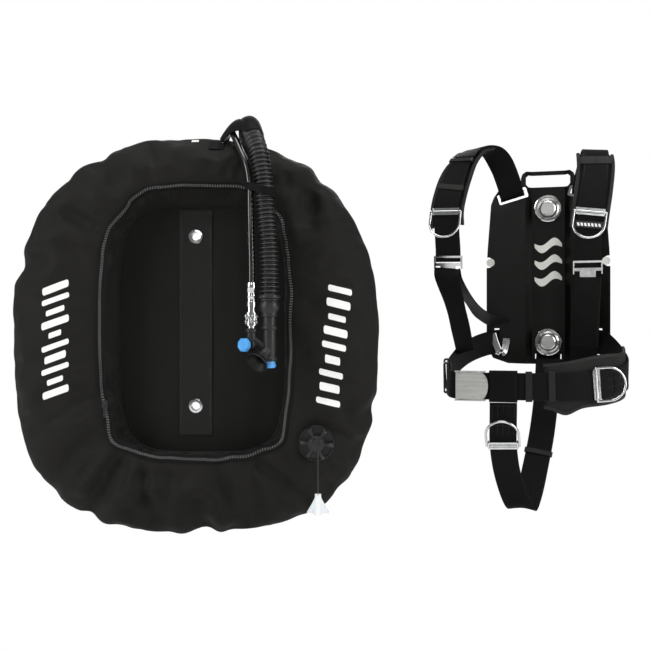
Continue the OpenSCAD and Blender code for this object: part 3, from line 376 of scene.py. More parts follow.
def metal(name, colour, rough, scratchScale, scratchDepth, stretch=(1, 1, 1)):
    # stainless steel: bright, with fine wear lines that break up its reflections
    material, tree, main = newMaterial(name, Metallic=1.0, Roughness=rough)
    place = addNode(tree, "TexCoord", output="Object")
    laid = addNode(tree, "Mapping", {"Scale": stretch, "Vector": place})
    lines = addNode(tree, "TexNoise", {"Scale": scratchScale, "Detail": 5.0, "Roughness": 0.65,
                                       "Vector": laid})
    cloud = addNode(tree, "TexNoise", {"Scale": 40.0, "Detail": 3.0, "Roughness": 0.55, "Vector": place})
    clouded = addNode(tree, "Math", {"operation": "MULTIPLY", 0: cloud, 1: 0.4})
    wear = addNode(tree, "Math", {"operation": "MULTIPLY_ADD", 0: lines, 1: 0.6, 2: clouded})
    gloss = addNode(tree, "MapRange", {"From Min": 0.3, "From Max": 0.7, "To Min": rough * 0.75,
                                       "To Max": rough * 1.5, "Value": wear})
    shade = addNode(tree, "Mix", {"data_type": "RGBA", 0: lines, 6: linear(colour), 7: linear("#f2f3f2")}, 2)
    bump = addNode(tree, "Bump", {"Strength": 0.5, "Distance": scratchDepth, "Height": lines})
    tree.links.new(gloss, main.inputs["Roughness"])
    tree.links.new(shade, main.inputs["Base Color"])
    tree.links.new(bump, main.inputs["Normal"])
    return material


def moulded(name, dark, light, rough, grainMm, depthMm, specular=0.5, **more):
    # a moulded or dipped part: one colour, a fine grain and slightly uneven gloss
    material, tree, main = newMaterial(name, Specular_IOR_Level=specular, **more)
    place = addNode(tree, "TexCoord", output="Object")
    grain = addNode(tree, "TexNoise", {"Scale": 1 / (grainMm * mm), "Detail": 3.0, "Roughness": 0.55,
                                       "Vector": place})
    cloud = addNode(tree, "TexNoise", {"Scale": 30.0, "Detail": 4.0, "Roughness": 0.55, "Vector": place})
    gloss = addNode(tree, "MapRange", {"From Min": 0.3, "From Max": 0.7, "To Min": rough * 0.85,
                                       "To Max": rough * 1.2, "Value": cloud})
    colour = addNode(tree, "Mix", {"data_type": "RGBA", 0: cloud, 6: linear(dark), 7: linear(light)}, 2)
    bump = addNode(tree, "Bump", {"Strength": 0.6, "Distance": depthMm * mm, "Height": grain})
    tree.links.new(colour, main.inputs["Base Color"])
    tree.links.new(gloss, main.inputs["Roughness"])
    tree.links.new(bump, main.inputs["Normal"])
    return material


materials = {
    # 1000 denier nylon, coated inside: coarse matt weave. Real threads are 0.6 mm apart, drawn at 1.5 mm so
    # that they show
    "cover": wovenCloth("coatedNylonCloth", "#0f0f0e", "#201f1d", 1.5, 0.22, 0.66),
    "sleeve": wovenCloth("ballisticNylonCloth", "#151514", "#232322", 2.4, 0.28, 0.6),
    "panel": wovenCloth("plainNylonCloth", "#0f0f0e", "#1a1a18", 1.2, 0.16, 0.72),
    "padCloth": wovenCloth("knitPadCloth", "#060606", "#131312", 2.0, 0.3, 0.8),
    "hipCloth": wovenCloth("greyPadCloth", "#161616", "#2c2c2b", 2.0, 0.25, 0.72),
    "webbing": ribbedWeb("nylonWebbing", "#070707", "#151514", 0.58, 50),
    "tape": ribbedWeb("nylonBindingTape", "#1c1c1c", "#343433", 0.5, 10),
    "polished": metal("polishedStainlessSteel", "#b4b7b8", 0.1, 90, 0.000002),
    # the same steel, a darker copy given to one tab only: painted shade, not a different finish
    "shadedSteel": metal("paintedShadeSteel", "#54575a", 0.14, 90, 0.000002),
    "brushed": metal("brushedStainlessSteel", "#a9a7a0", 0.28, 60, 0.00001, (0.12, 1, 9)),
    # baked polyester powder: satin with a faint orange peel
    "plate": moulded("satinPowderCoat", "#040403", "#0a0a08", 0.34, 0.9, 0.012, specular=0.22),
    # the ribs catch the light along their crests
    "hoseRubber": moulded("extrudedRubber", "#0d0d0d", "#181817", 0.34, 0.8, 0.006, specular=0.7),
    "feedRubber": moulded("smoothRubberCover", "#0e0e0e", "#191918", 0.17, 0.8, 0.003, specular=0.85),
    # extruded and moulded EPDM, with a soft sheen
    "rubber": moulded("mouldedRubber", "#101010", "#1b1b1a", 0.4, 0.8, 0.006),
    # soft mouthpiece rubber: hardly any gloss
    "mattRubber": moulded("siliconeRubber", "#060606", "#0f0f0e", 0.5, 0.8, 0.006, specular=0.35),
    "plastic": moulded("blackNylonMoulding", "#141414", "#222221", 0.4, 0.5, 0.008, specular=0.42),
    "blue": moulded("blueAcetalMoulding", "#3f97e6", "#68bafa", 0.3, 0.6, 0.004),
    "white": moulded("whiteSilicone", "#dfe5e6", "#f3f6f6", 0.4, 0.8, 0.02, Subsurface_Weight=0.35,
                     Subsurface_Scale=0.006),
    "eyelet": moulded("whiteAcetalMoulding", "#dcdcd6", "#efefe9", 0.4, 0.6, 0.01),
    # thick white ink that follows the weave
    "ink": moulded("screenPrintInk", "#f1f1ee", "#fafaf8", 0.6, 0.5, 0.03),
    "emblemInk": moulded("greyPrintInk", "#cfcfc9", "#e6e6e0", 0.55, 0.6, 0.02),
    "thread": moulded("nylonThread", "#1a1a19", "#3a3a38", 0.5, 0.3, 0.01),
    "zipTape": ribbedWeb("wovenZipTape", "#080808", "#1a1a1a", 0.5, 16),
    # near-black coil teeth mixed up to light grey in cloudy patches: painted glints on the black coil
    "zipTeeth": moulded("coilTeethPaintedGlints", "#101010", "#8e8e8b", 0.22, 0.4, 0.01),
    "film": moulded("urethaneFilm", "#2c2c2a", "#3e3e3b", 0.3, 2.0, 0.05),
}
print("materials are made")


# cords: the corrugated hose, the low-pressure hose and the pull cord
bulge = {"front": 54, "back": 49}
# the dump valve and the elbow: middle in x and z, and how far round them the cloth is held
fittings = {"front": (199, -194, 33), "back": (80, 228, 36)}
hoseShape = {"radiusMm": 16, "ribMm": 6.8, "ribDepthMm": 4.2, "around": 32, "perRib": 10}
hoseKnots = [(80, 80, 262), (80, 80, 268), (80, 80, 274), (81, 67, 297), (83, 36, 315), (86, 2, 321),
             (92, -34, 314), (100, -62, 291), (109, -77, 262), (117, -84, 216), (119, -85, 186),
             (124, -86, 130), (126, -86, 90), (126, -86, 60), (126, -86, 30)]


def corrugatedHose(s):
    rough = [p * mm for p in smoothPath(hoseKnots, 8)]
    length = pathLength(rough)
    ribs = round(length / (s["ribMm"] * mm))
    path = evenPath(rough, length / (ribs * s["perRib"]))

    def radius(i):
        crest = (0.5 + 0.5 * math.cos(2 * math.pi * (i / s["perRib"] + 0.5))) ** 0.75
        return (s["radiusMm"] - s["ribDepthMm"] * (1 - crest)) * mm

    hose = sheetMesh("corrugatedHose", tubeRows(path, radius, s["around"]), roundRow=True, capEnds=True)
    settle(hose, "corrugatedHose", "wing", materials["hoseRubber"], smooth=180)
    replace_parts(hose, "corrugated_hose")
    return path


hosePath = corrugatedHose(hoseShape)

feedShape = {"radiusMm": 5.3}
feedKnots = [(98, -86, 58), (98, -86, 70), (98, -86, 82), (97, -86, 130), (96, -85, 180), (95, -84, 214),
             (89, -76, 246), (78, -60, 272), (66, -36, 299), (56, 2, 314), (44, 38, 300), (36, 58, 264),
             (32, 64, 205), (30, 64, 110), (30, 60, 24), (30, 60, 12), (30, 60, 0)]
pullShape = {"radiusMm": 0.75, "knots": 15}
pullTop, pullEnd = Vector((202, -77.1, -189)), Vector((202, -77.1, -272))


def roundCord(name, knots, radiusMm, body, material):
    # a round cord as one smooth open curve
    data = bpy.data.curves.new(name, "CURVE")
    data.dimensions = "3D"
    data.resolution_u = 8
    data.bevel_depth = radiusMm * mm
    data.bevel_resolution = 5
    data.use_fill_caps = True
    line = data.splines.new("BEZIER")
    line.bezier_points.add(len(knots) - 1)
    for point, knot in zip(line.bezier_points, knots):
        point.co = Vector(knot) * mm
        point.handle_left_type = point.handle_right_type = "AUTO"
    cord = bpy.data.objects.new(name, data)
    scene.collection.objects.link(cord)
    data.materials.append(materials[material])
    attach(cord, body)
    return cord


feedHose = roundCord("feedHose", feedKnots, feedShape["radiusMm"], "wing", "feedRubber")
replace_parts(feedHose, "lp_hose")
pullCord = roundCord("pullCord", [pullTop.lerp(pullEnd, i / (pullShape["knots"] - 1))
                                  for i in range(pullShape["knots"])],
                     pullShape["radiusMm"], "dump_pull", "thread")
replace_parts(pullCord, "pull_cord")
print("cords are laid")


# the wing's cloth
wing = {"halfW": 306, "halfH": 326, "midZ": -22, "topRound": 2.3, "bottomRound": 2.8,
        "ridgeW": 148, "ridgeH": 218, "ridgeX": 9, "ridgeZ": -1.5, "panelW": 133, "panelH": 198, "panelX": 11,
        "panelZ": -14,
        "around": 320, "frontSteps": 34, "wallSteps": 9, "backSteps": 34,
        "inset": 2.4, "pressure": 4.0, "frames": 18, "capMm": 11, "spare": -0.035}


def bow(v, e):
    return math.copysign(abs(v) ** (2 / e), v)


def oval(a, w, h, z, e):
    return Vector((w * bow(math.cos(a), e), 0, z + h * bow(math.sin(a), e)))


def outerSeam(a, o):
    return oval(a, wing["halfW"] - o, wing["halfH"] - o, wing["midZ"],
                wing["topRound"] if math.sin(a) > 0 else wing["bottomRound"])


# where the ridge turns or runs straighter: degrees, how far it stands out in millimetres, and over how many
# degrees
ridgeCorners = [(225, 12, 11), (315, 10, 11), (133, -7, 11), (50, -4, 11), (0, -8, 34), (270, -5, 30),
                (90, -3, 24)]


def ridge(a, o):
    # the sewn line wanders a little and kinks at the corners
    wander = 2.2 * noise.noise(Vector((math.cos(a) * 6, math.sin(a) * 6,
                                       1.3))) + 1.1 * noise.noise(Vector((math.cos(a) * 17, math.sin(a) * 17,
                                               5.3)))
    degrees = math.degrees(a) % 360
    corner = sum(high * math.exp(-((((degrees - at + 180) % 360) - 180) / wide) ** 2) for at, high,
                 wide in ridgeCorners)
    return Vector((wing["ridgeX"], 0, 0)) + oval(a, wing["ridgeW"] + o + wander + corner,
                                                 wing["ridgeH"] + o + wander + corner, wing["ridgeZ"], 3.4)


def panelEdge(a, o):
    return Vector((wing["panelX"], 0, 0)) + oval(a, wing["panelW"] + o, wing["panelH"] + o, wing["panelZ"],
                                                 4.5)


def frontPoint(a, s, o):
    ridgeY = bulge["front"] * math.sin(math.radians(130)) ** 0.7
    if s <= 1:
        p = outerSeam(a, o).lerp(ridge(a, o), s)
        p.y = -max(0.3, (bulge["front"] - o) * math.sin(math.radians(130 * s)) ** 0.7)
    else:
        p = ridge(a, o).lerp(panelEdge(a, o), s - 1)
        p.y = -(2 - s) * (ridgeY - o) - (s - 1) * 2.3
    return p * mm


def backPoint(a, s, o):
    p = outerSeam(a, o).lerp(panelEdge(a, o), s)
    p.y = max(0.3 if s < 0.5 else 2.3, (bulge["back"] - o) * max(0.0, math.sin(math.radians(180 * s))) ** 0.6)
    return p * mm


# soft folds of the front: a line in x and z, how deep, how wide, in millimetres
folds = [
    ([(-114, -226), (-140, -268), (-176, -318)], 7, 13),
    ([(-78, -246), (-74, -290)], 6, 9),
    ([(-74, -290), (-96, -306)], 4, 11),
    ([(10, -292), (14, -330), (11, -352)], 12, 13),
    ([(-12, -262), (-18, -300)], 3, 14),
    ([(106, -226), (150, -262), (186, -292)], 6, 10),
    ([(92, -238), (112, -300)], 4, 12),
    ([(160, -232), (196, -262), (232, -270)], 3, 12),
    ([(172, 214), (196, 176), (190, 160)], 5, 14),
    ([(-128, 226), (-152, 262)], 3, 15),
    ([(-150, -120), (-196, -136), (-232, -128)], 2.5, 16),
    ([(40, -240), (56, -292)], 4, 13),
    ([(-40, -250), (-52, -312)], 4, 12),
    ([(150, 168), (188, 186), (206, 232)], 4, 14),
    ([(-158, 152), (-196, 170), (-222, 168)], 4, 14),
    ([(-150, -196), (-206, -236), (-226, -276)], 3, 20),
    ([(172, 40), (212, 8), (250, -6)], 3, 16),
    ([(176, -60), (214, -92), (242, -128)], 3, 18),
    ([(300, -140), (272, -160), (252, -150)], 5, 12),
    ([(-300, 92), (-270, 88), (-244, 100)], 5, 13),
    ([(232, -196), (262, -204), (292, -184)], 3, 12),
    ([(30, 282), (34, 250)], 2, 16),
    ([(-70, 226), (-64, 262)], 2.5, 14),
    ([(-216, -330), (-190, -290)], 4, 12),
]


deepestFold = 10  # the bladder lies at most 20 mm below the cloth


def foldDepth(p):
    # how far a front point sinks into the nearest folds, with a low swell beside each
    depth = 0
    q = Vector((p.x, p.z)) / mm
    for line, deep, wide in folds:
        best = 1e9
        for a, b in zip(line, line[1:]):
            a, b = Vector(a), Vector(b)
            t = max(0, min(1, (q - a).dot(b - a) / (b - a).length_squared))
            best = min(best, (q - a.lerp(b, t)).length)
        if best < 5 * wide:
            depth += 1.6 * deep * math.exp(-(best / wide) ** 2) - 0.7 * deep * math.exp(-((best - 2.2 * wide) / wide) ** 2)
    return min(depth, deepestFold) * mm


def wingRing():
    # rows of the closed ring: front from the outer seam in, down the inner wall, and back out behind
    steps = ([("front", k / wing["frontSteps"]) for k in range(wing["frontSteps"] + 1)]
             + [("front", 1 + k / wing["wallSteps"]) for k in range(1, wing["wallSteps"] + 1)]
             + [("back", 1 - k / wing["backSteps"]) for k in range(wing["backSteps"])])
    return steps


def simulateCloth(piece, pins):
    # swells the cloth with air pressure while its seams stay where they are sewn
    rest = [v.co.copy() for v in piece.data.vertices]
    group = piece.vertex_groups.new(name="seams")
    for i, weight in pins:
        group.add([i], weight, "REPLACE")
    pick(piece)
    cloth = piece.modifiers.new("cloth", "CLOTH")
    settings = cloth.settings
    settings.quality = 4
    settings.mass = 0.4
    settings.tension_stiffness = settings.compression_stiffness = 12
    settings.shear_stiffness = 6
    settings.bending_stiffness = 1.2
    settings.use_pressure = True
    settings.uniform_pressure_force = wing["pressure"]
    settings.effector_weights.gravity = 0
    settings.shrink_min = wing["spare"]
    settings.vertex_group_mass = "seams"
    cloth.collision_settings.use_collision = False
    for number in range(1, wing["frames"] + 1):
        scene.frame_set(number)
    bpy.ops.object.modifier_apply(modifier=cloth.name)
    scene.frame_set(1)
    cap = wing["capMm"] * mm
    for v, old in zip(piece.data.vertices, rest):
        move = v.co - old
        if move.length > cap:
            v.co = old + move * (cap / move.length)
    piece.vertex_groups.clear()


def makeWing():
    steps = wingRing()
    count = wing["around"]
    angles = [2 * math.pi * (k + 0.5) / count for k in range(count)]
    rows = [[(frontPoint if side == "front" else backPoint)(a, s, wing["inset"]) for a in angles] for side,
            s in steps]
    piece = sheetMesh("wingCover", rows, roundRow=True, roundRows=True)
    faceOutwards(piece)
    pins = []
    for r, (side, s) in enumerate(steps):
        sewn = 1.0 if (side == "front" and (s == 0 or 0.82 <= s <= 1.02 or s > 1.7)) or (side == "back"
                and s > 0.93) else 0.0
        if side == "back" and s < 0.04:
            sewn = 1.0
        if sewn:
            pins += [(r * count + k, sewn) for k in range(count)]
    # the two fittings clamp the cloth
    for r, (side, s) in enumerate(steps):
        for k in range(count):
            p = rows[r][k] / mm
            x, z, held = fittings[side]
            if math.hypot(p.x - x, p.z - z) < held:
                pins.append((r * count + k, 1.0))
    simulateCloth(piece, pins)
    # small gathers along the outer seam, folds and a slow unevenness
    mesh = piece.data
    mesh.update()
    moved = []
    for r, (side, s) in enumerate(steps):
        nearSeam = math.exp(-(s / 0.16) ** 2)
        for k in range(count):
            v = mesh.vertices[r * count + k]
            p, n = v.co, v.normal
            pleat = noise.noise(Vector((math.cos(angles[k]) * 5, math.sin(angles[k]) * 5, 3.7)))
            fine = noise.noise(Vector((math.cos(angles[k]) * 30, math.sin(angles[k]) * 30, 9.1 + s)))
            lift = (2.2 * pleat + 0.4 * fine) * nearSeam
            lift += 2.2 * noise.noise(p * 11) + 1.1 * noise.noise(p * 26 + Vector((5, 1, 2)))
            x, z, held = fittings[side]
            near = math.hypot(p.x - x * mm, p.z - z * mm)
            keep = min(1.0, max(0.0, (near - 0.03) / 0.03))
            if side == "front" and s > 1.0:
                keep *= max(0.0, 1 - (s - 1) * 1.2)
                turn = angles[k]
                ripple = noise.noise(Vector((math.cos(turn) * 7.5, math.sin(turn) * 7.5,
                                             8.1))) + 0.5 * noise.noise(Vector((math.cos(turn) * 19,
                                                     math.sin(turn) * 19, 2.2)))
                lift += 7.0 * ripple * math.sin(math.pi * min(1.0, s - 1)) / max(0.25, keep)
            if side == "back" and s > 0.9:
                keep *= (1 - s) / 0.1
            sink = foldDepth(p) if side == "front" and s <= 1 else 0
            moved.append(p + n * (lift * mm - sink) * keep)
    for v, p in zip(mesh.vertices, moved):
        v.co = p
    mesh.update()
    addModifier(piece, "SMOOTH", factor=0.4, iterations=2)
    grid = [[piece.data.vertices[r * count + k].co.copy() for k in range(count)] for r in range(len(steps))]
    addModifier(piece, "SUBSURF", levels=1, render_levels=1)
    settle(piece, "wingCover", "wing", materials["cover"], smooth=180)
    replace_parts(piece, "cover_front", "cover_back")
    return piece, grid, steps


wingCover, wingGrid, wingSteps = makeWing()
wingTree = BVHTree.FromPolygons([v.co for v in wingCover.data.vertices],
                                [p.vertices for p in wingCover.data.polygons])
print("wing cover is sewn and filled")


def onWing(x, z, lift=0.5):
    # the place on the front of the cloth at x and z in millimetres, raised a little, and its outward
    # direction
    hit = wingTree.ray_cast(Vector((x * mm, -0.3, z * mm)), Vector((0, 1, 0)))
    normal = hit[1] if hit[1].y < 0 else -hit[1]
    return hit[0] + normal * lift * mm, normal


def alongRing(a, s, lift=0.0):
    # a place on the front cloth by its angle and how far in from the seam it lies
    steps = wing["frontSteps"] if s <= 1 else wing["wallSteps"]
    row = s * steps if s <= 1 else wing["frontSteps"] + (s - 1) * steps
    r = min(int(row), len(wingGrid) - 2)
    f = row - r
    count = wing["around"]
    turn = (a / (2 * math.pi) * count - 0.5) % count
    k = int(turn)
    g = turn - k

    def at(r, k):
        return wingGrid[r][k % count]
    p = at(r, k).lerp(at(r, k + 1), g).lerp(at(r + 1, k).lerp(at(r + 1, k + 1), g), f)
    n = (at(r, k + 1) - at(r, k)).cross(at(r + 1, k) - at(r, k)).normalized()
    if n.y > 0:
        n = -n
    return p + n * lift * mm, n


# bladder inside the cover
bladderShape = {"insetMm": 22, "around": 96}


def makeBladder(shape):
    steps = wingRing()[::3]
    count = shape["around"]
    rows = []
    for side, s in steps:
        rows.append([(frontPoint if side == "front" else backPoint)(2 * math.pi * k / count,
                min(s, 1.6) if side == "front" else max(0.1, min(s, 0.9)), shape["insetMm"])
                     for k in range(count)])
    piece = sheetMesh("bladder", rows, roundRow=True, roundRows=True)
    faceOutwards(piece)
    settle(piece, "innerBladder", "wing", materials["film"], smooth=180)
    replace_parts(piece, "bladder")


makeBladder(bladderShape)


# centre panel and bolt sleeve
panelShape = {"rings": 26, "around": 160, "thickMm": 3.0, "boreMm": 8.4, "boltZ": 139.7}


def cutBores(piece, r):
    # the two grommet bores go right through the cloth
    for z in (panelShape["boltZ"], -panelShape["boltZ"]):
        bpy.ops.mesh.primitive_cylinder_add(vertices=40, radius=r * mm, depth=0.06, location=(0, 0, z * mm),
                                            rotation=(math.pi / 2, 0, 0))
        cutter = bpy.context.object
        addModifier(piece, "BOOLEAN", operation="DIFFERENCE", object=cutter, solver="EXACT")
        bpy.data.objects.remove(cutter)


def makePanel(s):
    rows = []
    for i in range(s["rings"] + 1):
        t = 0.04 + 0.96 * i / s["rings"]
        row = []
        for k in range(s["around"]):
            p = panelEdge(2 * math.pi * k / s["around"], 5.0)
            q = Vector((wing["panelX"] + (p.x - wing["panelX"]) * t, 0,
                        wing["panelZ"] + (p.z - wing["panelZ"]) * t))
            wave = 1.5 * noise.noise(Vector((q.x / 26, 0, q.z / 120))) + 0.8 * noise.noise(Vector((q.x / 60,
                    3, q.z / 34)))
            q.y = -0.6 + wave * min(1, 4 * (1 - t) + 0.1)
            row.append(q * mm)
        rows.append(row)
    piece = sheetMesh("centrePanel", rows, roundRow=True, texture=lambda i,
                      k: (rows[i % len(rows)][k % s["around"]].x, rows[i % len(rows)][k % s["around"]].z))
    selectEdges(piece, lambda edge: edge.is_boundary
                and all(abs(v.co.x - wing["panelX"] * mm) < 0.02 and abs(v.co.z - wing["panelZ"] * mm) < 0.03
                        for v in edge.verts))
    bpy.ops.mesh.edge_face_add()
    bpy.ops.mesh.select_all(action="SELECT")
    bpy.ops.mesh.normals_make_consistent(inside=False)
    objectMode()
    if piece.data.polygons[0].normal.y > 0:
        pick(piece)
        bpy.ops.object.mode_set(mode="EDIT")
        bpy.ops.mesh.select_all(action="SELECT")
        bpy.ops.mesh.flip_normals()
        objectMode()
    addModifier(piece, "SOLIDIFY", thickness=s["thickMm"] * mm, offset=0)
    cutBores(piece, s["boreMm"])
    settle(piece, "centrePanel", "wing", materials["panel"], smooth=50)
    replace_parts(piece, "center_panel")


makePanel(panelShape)

sleeveShape = {"halfW": 26.6, "low": -187, "high": 183, "y": -3.3, "thickMm": 1.6}


def makeSleeve(s):
    across, tall = 30, 200
    rows = []
    for i in range(tall + 1):
        z = s["low"] + (s["high"] - s["low"]) * i / tall
        row = []
        for k in range(across + 1):
            x = s["halfW"] * (2 * k / across - 1)
            inside = 1 - abs(x / s["halfW"]) ** 4
            bolt = min(1, abs(abs(z) - panelShape["boltZ"]) / 22)
            y = s["y"] - (0.9 * noise.noise(Vector((x / 40, 2, z / 17))) + 0.7) * inside * bolt
            row.append(Vector((x, y, z)) * mm)
        rows.append(row)
    piece = sheetMesh("boltSleeve", rows, texture=lambda i, k: (rows[i][k].x, rows[i][k].z))
    addModifier(piece, "SOLIDIFY", thickness=s["thickMm"] * mm, offset=0)
    cutBores(piece, panelShape["boreMm"])
    faceOutwards(piece)
    settle(piece, "boltSleeve", "wing", materials["sleeve"], smooth=50)
    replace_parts(piece, "bolt_sleeve")


makeSleeve(sleeveShape)
print("panel and sleeve are sewn")


# stitching
def stitchRows(name, lines, body, material="thread", longMm=3.0, gapMm=1.4, thickMm=0.5, place=None):
    # rows of single stitches; each line is a list of (place, outward direction) in metres
    bpy.ops.mesh.primitive_cylinder_add(vertices=6, radius=thickMm * mm / 2, depth=1, location=(0, 0, 0))
    single = bpy.context.object
    selectFaces(single, lambda face: abs(face.normal.z) > 0.9)
    bpy.ops.mesh.inset(thickness=thickMm * mm * 0.2, depth=0)
    objectMode()
    shape = [v.co.copy() for v in single.data.vertices]
    faces = [tuple(p.vertices) for p in single.data.polygons]
    bpy.data.objects.remove(single)
    points, polygons = [], []
    for line in lines:
        walk = 0.0
        want = longMm * mm / 2
        for (a, na), (b, nb) in zip(line, line[1:]):
            length = (b - a).length
            while want < walk + length:
                t = (want - walk) / length if length else 0
                middle, up = a.lerp(b, t), na.lerp(nb, t).normalized()
                z = (b - a).normalized()
                x = up.cross(z).normalized()
                y = z.cross(x)
                first = len(points)
                for p in shape:
                    bend = -0.35 * thickMm * mm * (abs(p.z) * 2) ** 2
                    points.append(middle + x * p.x + y * (p.y * 0.8 + bend) + z * p.z * longMm * mm)
                polygons += [tuple(first + i for i in face) for face in faces]
                want += (longMm + gapMm) * mm
            walk += length
    mesh = bpy.data.meshes.new(name)
    mesh.from_pydata([tuple(p) for p in points], [], polygons)
    piece = bpy.data.objects.new(name, mesh)
    scene.collection.objects.link(piece)
    return settle(piece, name, body, materials[material], place, smooth=60)


def flatLine(points, normal):
    # a straight-edged line of stitches from points in millimetres
    made = []
    for a, b in zip(points, points[1:]):
        a, b = Vector(a) * mm, Vector(b) * mm
        made += [(a.lerp(b, i / 12), Vector(normal)) for i in range(12)]
    return made + [(Vector(points[-1]) * mm, Vector(normal))]


sleeveStitches = []
for side in (-1, 1):
    for x in (25.0, 22.6):
        sleeveStitches.append(flatLine([(side * x, sleeveShape["y"] - 1.0, z) for z in range(-182, 184, 13)],
                                       (0, -1, 0)))
for z in (180, -184):
    sleeveStitches.append(flatLine([(-24, sleeveShape["y"] - 1.1, z), (24, sleeveShape["y"] - 1.1, z)],
                                   (0, -1, 0)))
stitchRows("sleeveStitching", sleeveStitches, "wing")


# zip
zipShape = {"from": 0.905, "to": 1.0, "liftMm": 0.15}


def makeZip(s):
    count = 360
    rows = []
    for i in range(count):
        a = 2 * math.pi * i / count
        row = []
        for k, (t, lift) in enumerate([(0, 0.1), (0.04, 0.6), (0.3, 0.7), (0.42, 1.2), (0.5, 1.3),
                                       (0.58, 1.2), (0.7, 0.7), (0.96, 0.6), (1, 0.1)]):
            row.append(alongRing(a, s["from"] + (s["to"] - s["from"]) * t, s["liftMm"] + lift)[0])
        rows.append(row)
    lengths = [0.0]
    for i in range(count):
        lengths.append(lengths[-1] + (rows[(i + 1) % count][4] - rows[i][4]).length)
    widths = [0, 0.6, 4.8, 6.7, 8, 9.3, 11.2, 15.4, 16]
    piece = sheetMesh("zipTape", rows, roundRows=True, texture=lambda i,
                      k: ((widths[k] - 8) * mm, lengths[i]))
    addModifier(piece, "SOLIDIFY", thickness=0.8 * mm, offset=-1)
    faceOutwards(piece)
    settle(piece, "zipTape", "wing", materials["zipTape"], smooth=50)
    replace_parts(piece, "zipper")
    middle = [rows[i % count][4] for i in range(count + 1)]
    normals = [alongRing(2 * math.pi * i / count, s["from"] + 0.5 * (s["to"] - s["from"]))[1]
               for i in range(count + 1)]
    # two rows of coil teeth that meet in the middle
    lines = []
    for side in (-1, 1):
        line = []
        for i in range(count + 1):
            along = (middle[(i + 1) % count] - middle[(i - 1) % count]).normalized()
            out = normals[i].cross(along).normalized()
            line.append((middle[i % count] + out * side * 1.2 * mm + normals[i] * 1.5 * mm, normals[i]))
        lines.append(line)
    stitchRows("zipTeeth", lines, "wing", "zipTeeth", 1.8, 2.4, 2.0)
    # two rows of stitches hold each side of the tape
    seams = []
    for t in (0.1, 0.9):
        seams.append([(alongRing(2 * math.pi * i / count, s["from"] + (s["to"] - s["from"]) * t,
                                 s["liftMm"] + 0.95)[0], normals[i]) for i in range(count + 1)])
    stitchRows("zipStitching", seams, "wing", "thread", 3.2, 1.6, 0.5)


makeZip(zipShape)
print("zip is sewn")


# prints on the wing: plain slanted bars
printShape = {"slant": 0.32, "liftMm": 0.55, "thickMm": 0.35}


def wingBars(name, bars, shape):
    # each bar: middle x and z, length across, height, all in millimetres
    pieces = []
    for x, z, long, high in bars:
        count, rowsHigh = 14, 5
        rows = []
        for i in range(rowsHigh + 1):
            v = i / rowsHigh - 0.5
            row = []
            for k in range(count + 1):
                u = k / count - 0.5
                corner = 1 - 0.10 * (abs(2 * v) ** 6)
                row.append(onWing(x + u * long * corner, z + v * high + u * long * shape["slant"],
                                  shape["liftMm"])[0])
            rows.append(row)
        pieces.append(sheetMesh(name, rows, texture=lambda i, k: (rows[i][k].x, rows[i][k].z)))
    piece = joined(pieces)
    addModifier(piece, "SOLIDIFY", thickness=shape["thickMm"] * mm, offset=0)
    faceOutwards(piece)
    return settle(piece, name, "wing", materials["ink"], smooth=50)


leftBars = []
for i, long in enumerate([44, 44, 30, 44, 20, 44, 36, 44, 26, 44]):
    leftBars.append((-219 + 0.02 * i, 54 - 18.6 * i, long, 9 if i % 3 else 12))
rightBars = []
for i, long in enumerate([38, 38, 28, 38, 38, 24, 38, 32, 38]):
    rightBars.append((237 - 2.4 * i, 50 - 22.4 * i, long, 13 if i % 2 else 10))
wingBars("leftPrint", leftBars, printShape)
wingBars("rightPrint", rightBars, {**printShape, "slant": -0.22})
print("prints are made")


# webbing
def webFrames(knots, steps):
    # the web's line with its width direction and its inward direction at each point
    line = smoothPath([k[:3] for k in knots], steps)
    wide = smoothPath([k[3:6] for k in knots], steps)
    frames = []
    for i, p in enumerate(line):
        t = tangentAt(line, i)
        w = (wide[i] - wide[i].dot(t) * t).normalized()
        frames.append((p, w, w.cross(t), t))
    return frames


webSection = [(-0.5, 0), (-0.494, 0.36), (-0.474, 0.5), (-0.38, 0.47), (-0.2, 0.5), (0, 0.48), (0.2, 0.5),
              (0.38, 0.47),
              (0.474, 0.5), (0.494, 0.36), (0.5, 0), (0.494, -0.36), (0.474, -0.5), (0.38, -0.47),
              (0.2, -0.5), (0, -0.48),
              (-0.2, -0.5), (-0.38, -0.47), (-0.474, -0.5), (-0.494, -0.36)]


def webPiece(name, frames, widthMm, thickMm, body, material="webbing", lift=0.0,
             section=webSection, seed=0.0, waveMm=0.5, place=harnessPlace):
    # a flat web with rounded edges along its frames, in the harness's own millimetres
    rows = []
    lengths = [0.0]
    for i, (p, w, n, t) in enumerate(frames):
        if i:
            lengths.append(lengths[-1] + (p - frames[i - 1][0]).length)
        ends = min(1.0, lengths[-1] / 30)
        row = []
        for u, v in section:
            ripple = waveMm * ends * noise.noise(Vector((u * 1.6, lengths[-1] / 46, seed)))
            row.append((p + w * u * widthMm + n * (v * thickMm + lift + ripple)) * mm)
        rows.append(row)
    count = len(section)
    around = [u * widthMm * mm for u, v in section]
    piece = sheetMesh(name, rows, roundRow=True, capEnds=True,
                      texture=lambda i, k: (around[k % count], lengths[min(i, len(lengths) - 1)] * mm))
    faceOutwards(piece)
    return settle(piece, name, body, materials[material], place, smooth=50)


def webStitches(name, frames, offsets, surface, lift=0.0, crossings=()):
    # stitches along the web at offsets from its middle, on the outer face
    lines = []
    for offset in offsets:
        lines.append([((p + w * offset + n * (surface + lift)) * mm, n if surface > 0 else -n) for p, w, n,
                      t in frames])
    for i in crossings:
        p, w, n, t = frames[i]
        lines.append([((p + w * (u * 4.0) + n * (surface + lift)) * mm, n if surface > 0 else -n)
                      for u in range(-5, 6)])
    return stitchRows(name, lines, "harness", place=harnessPlace)


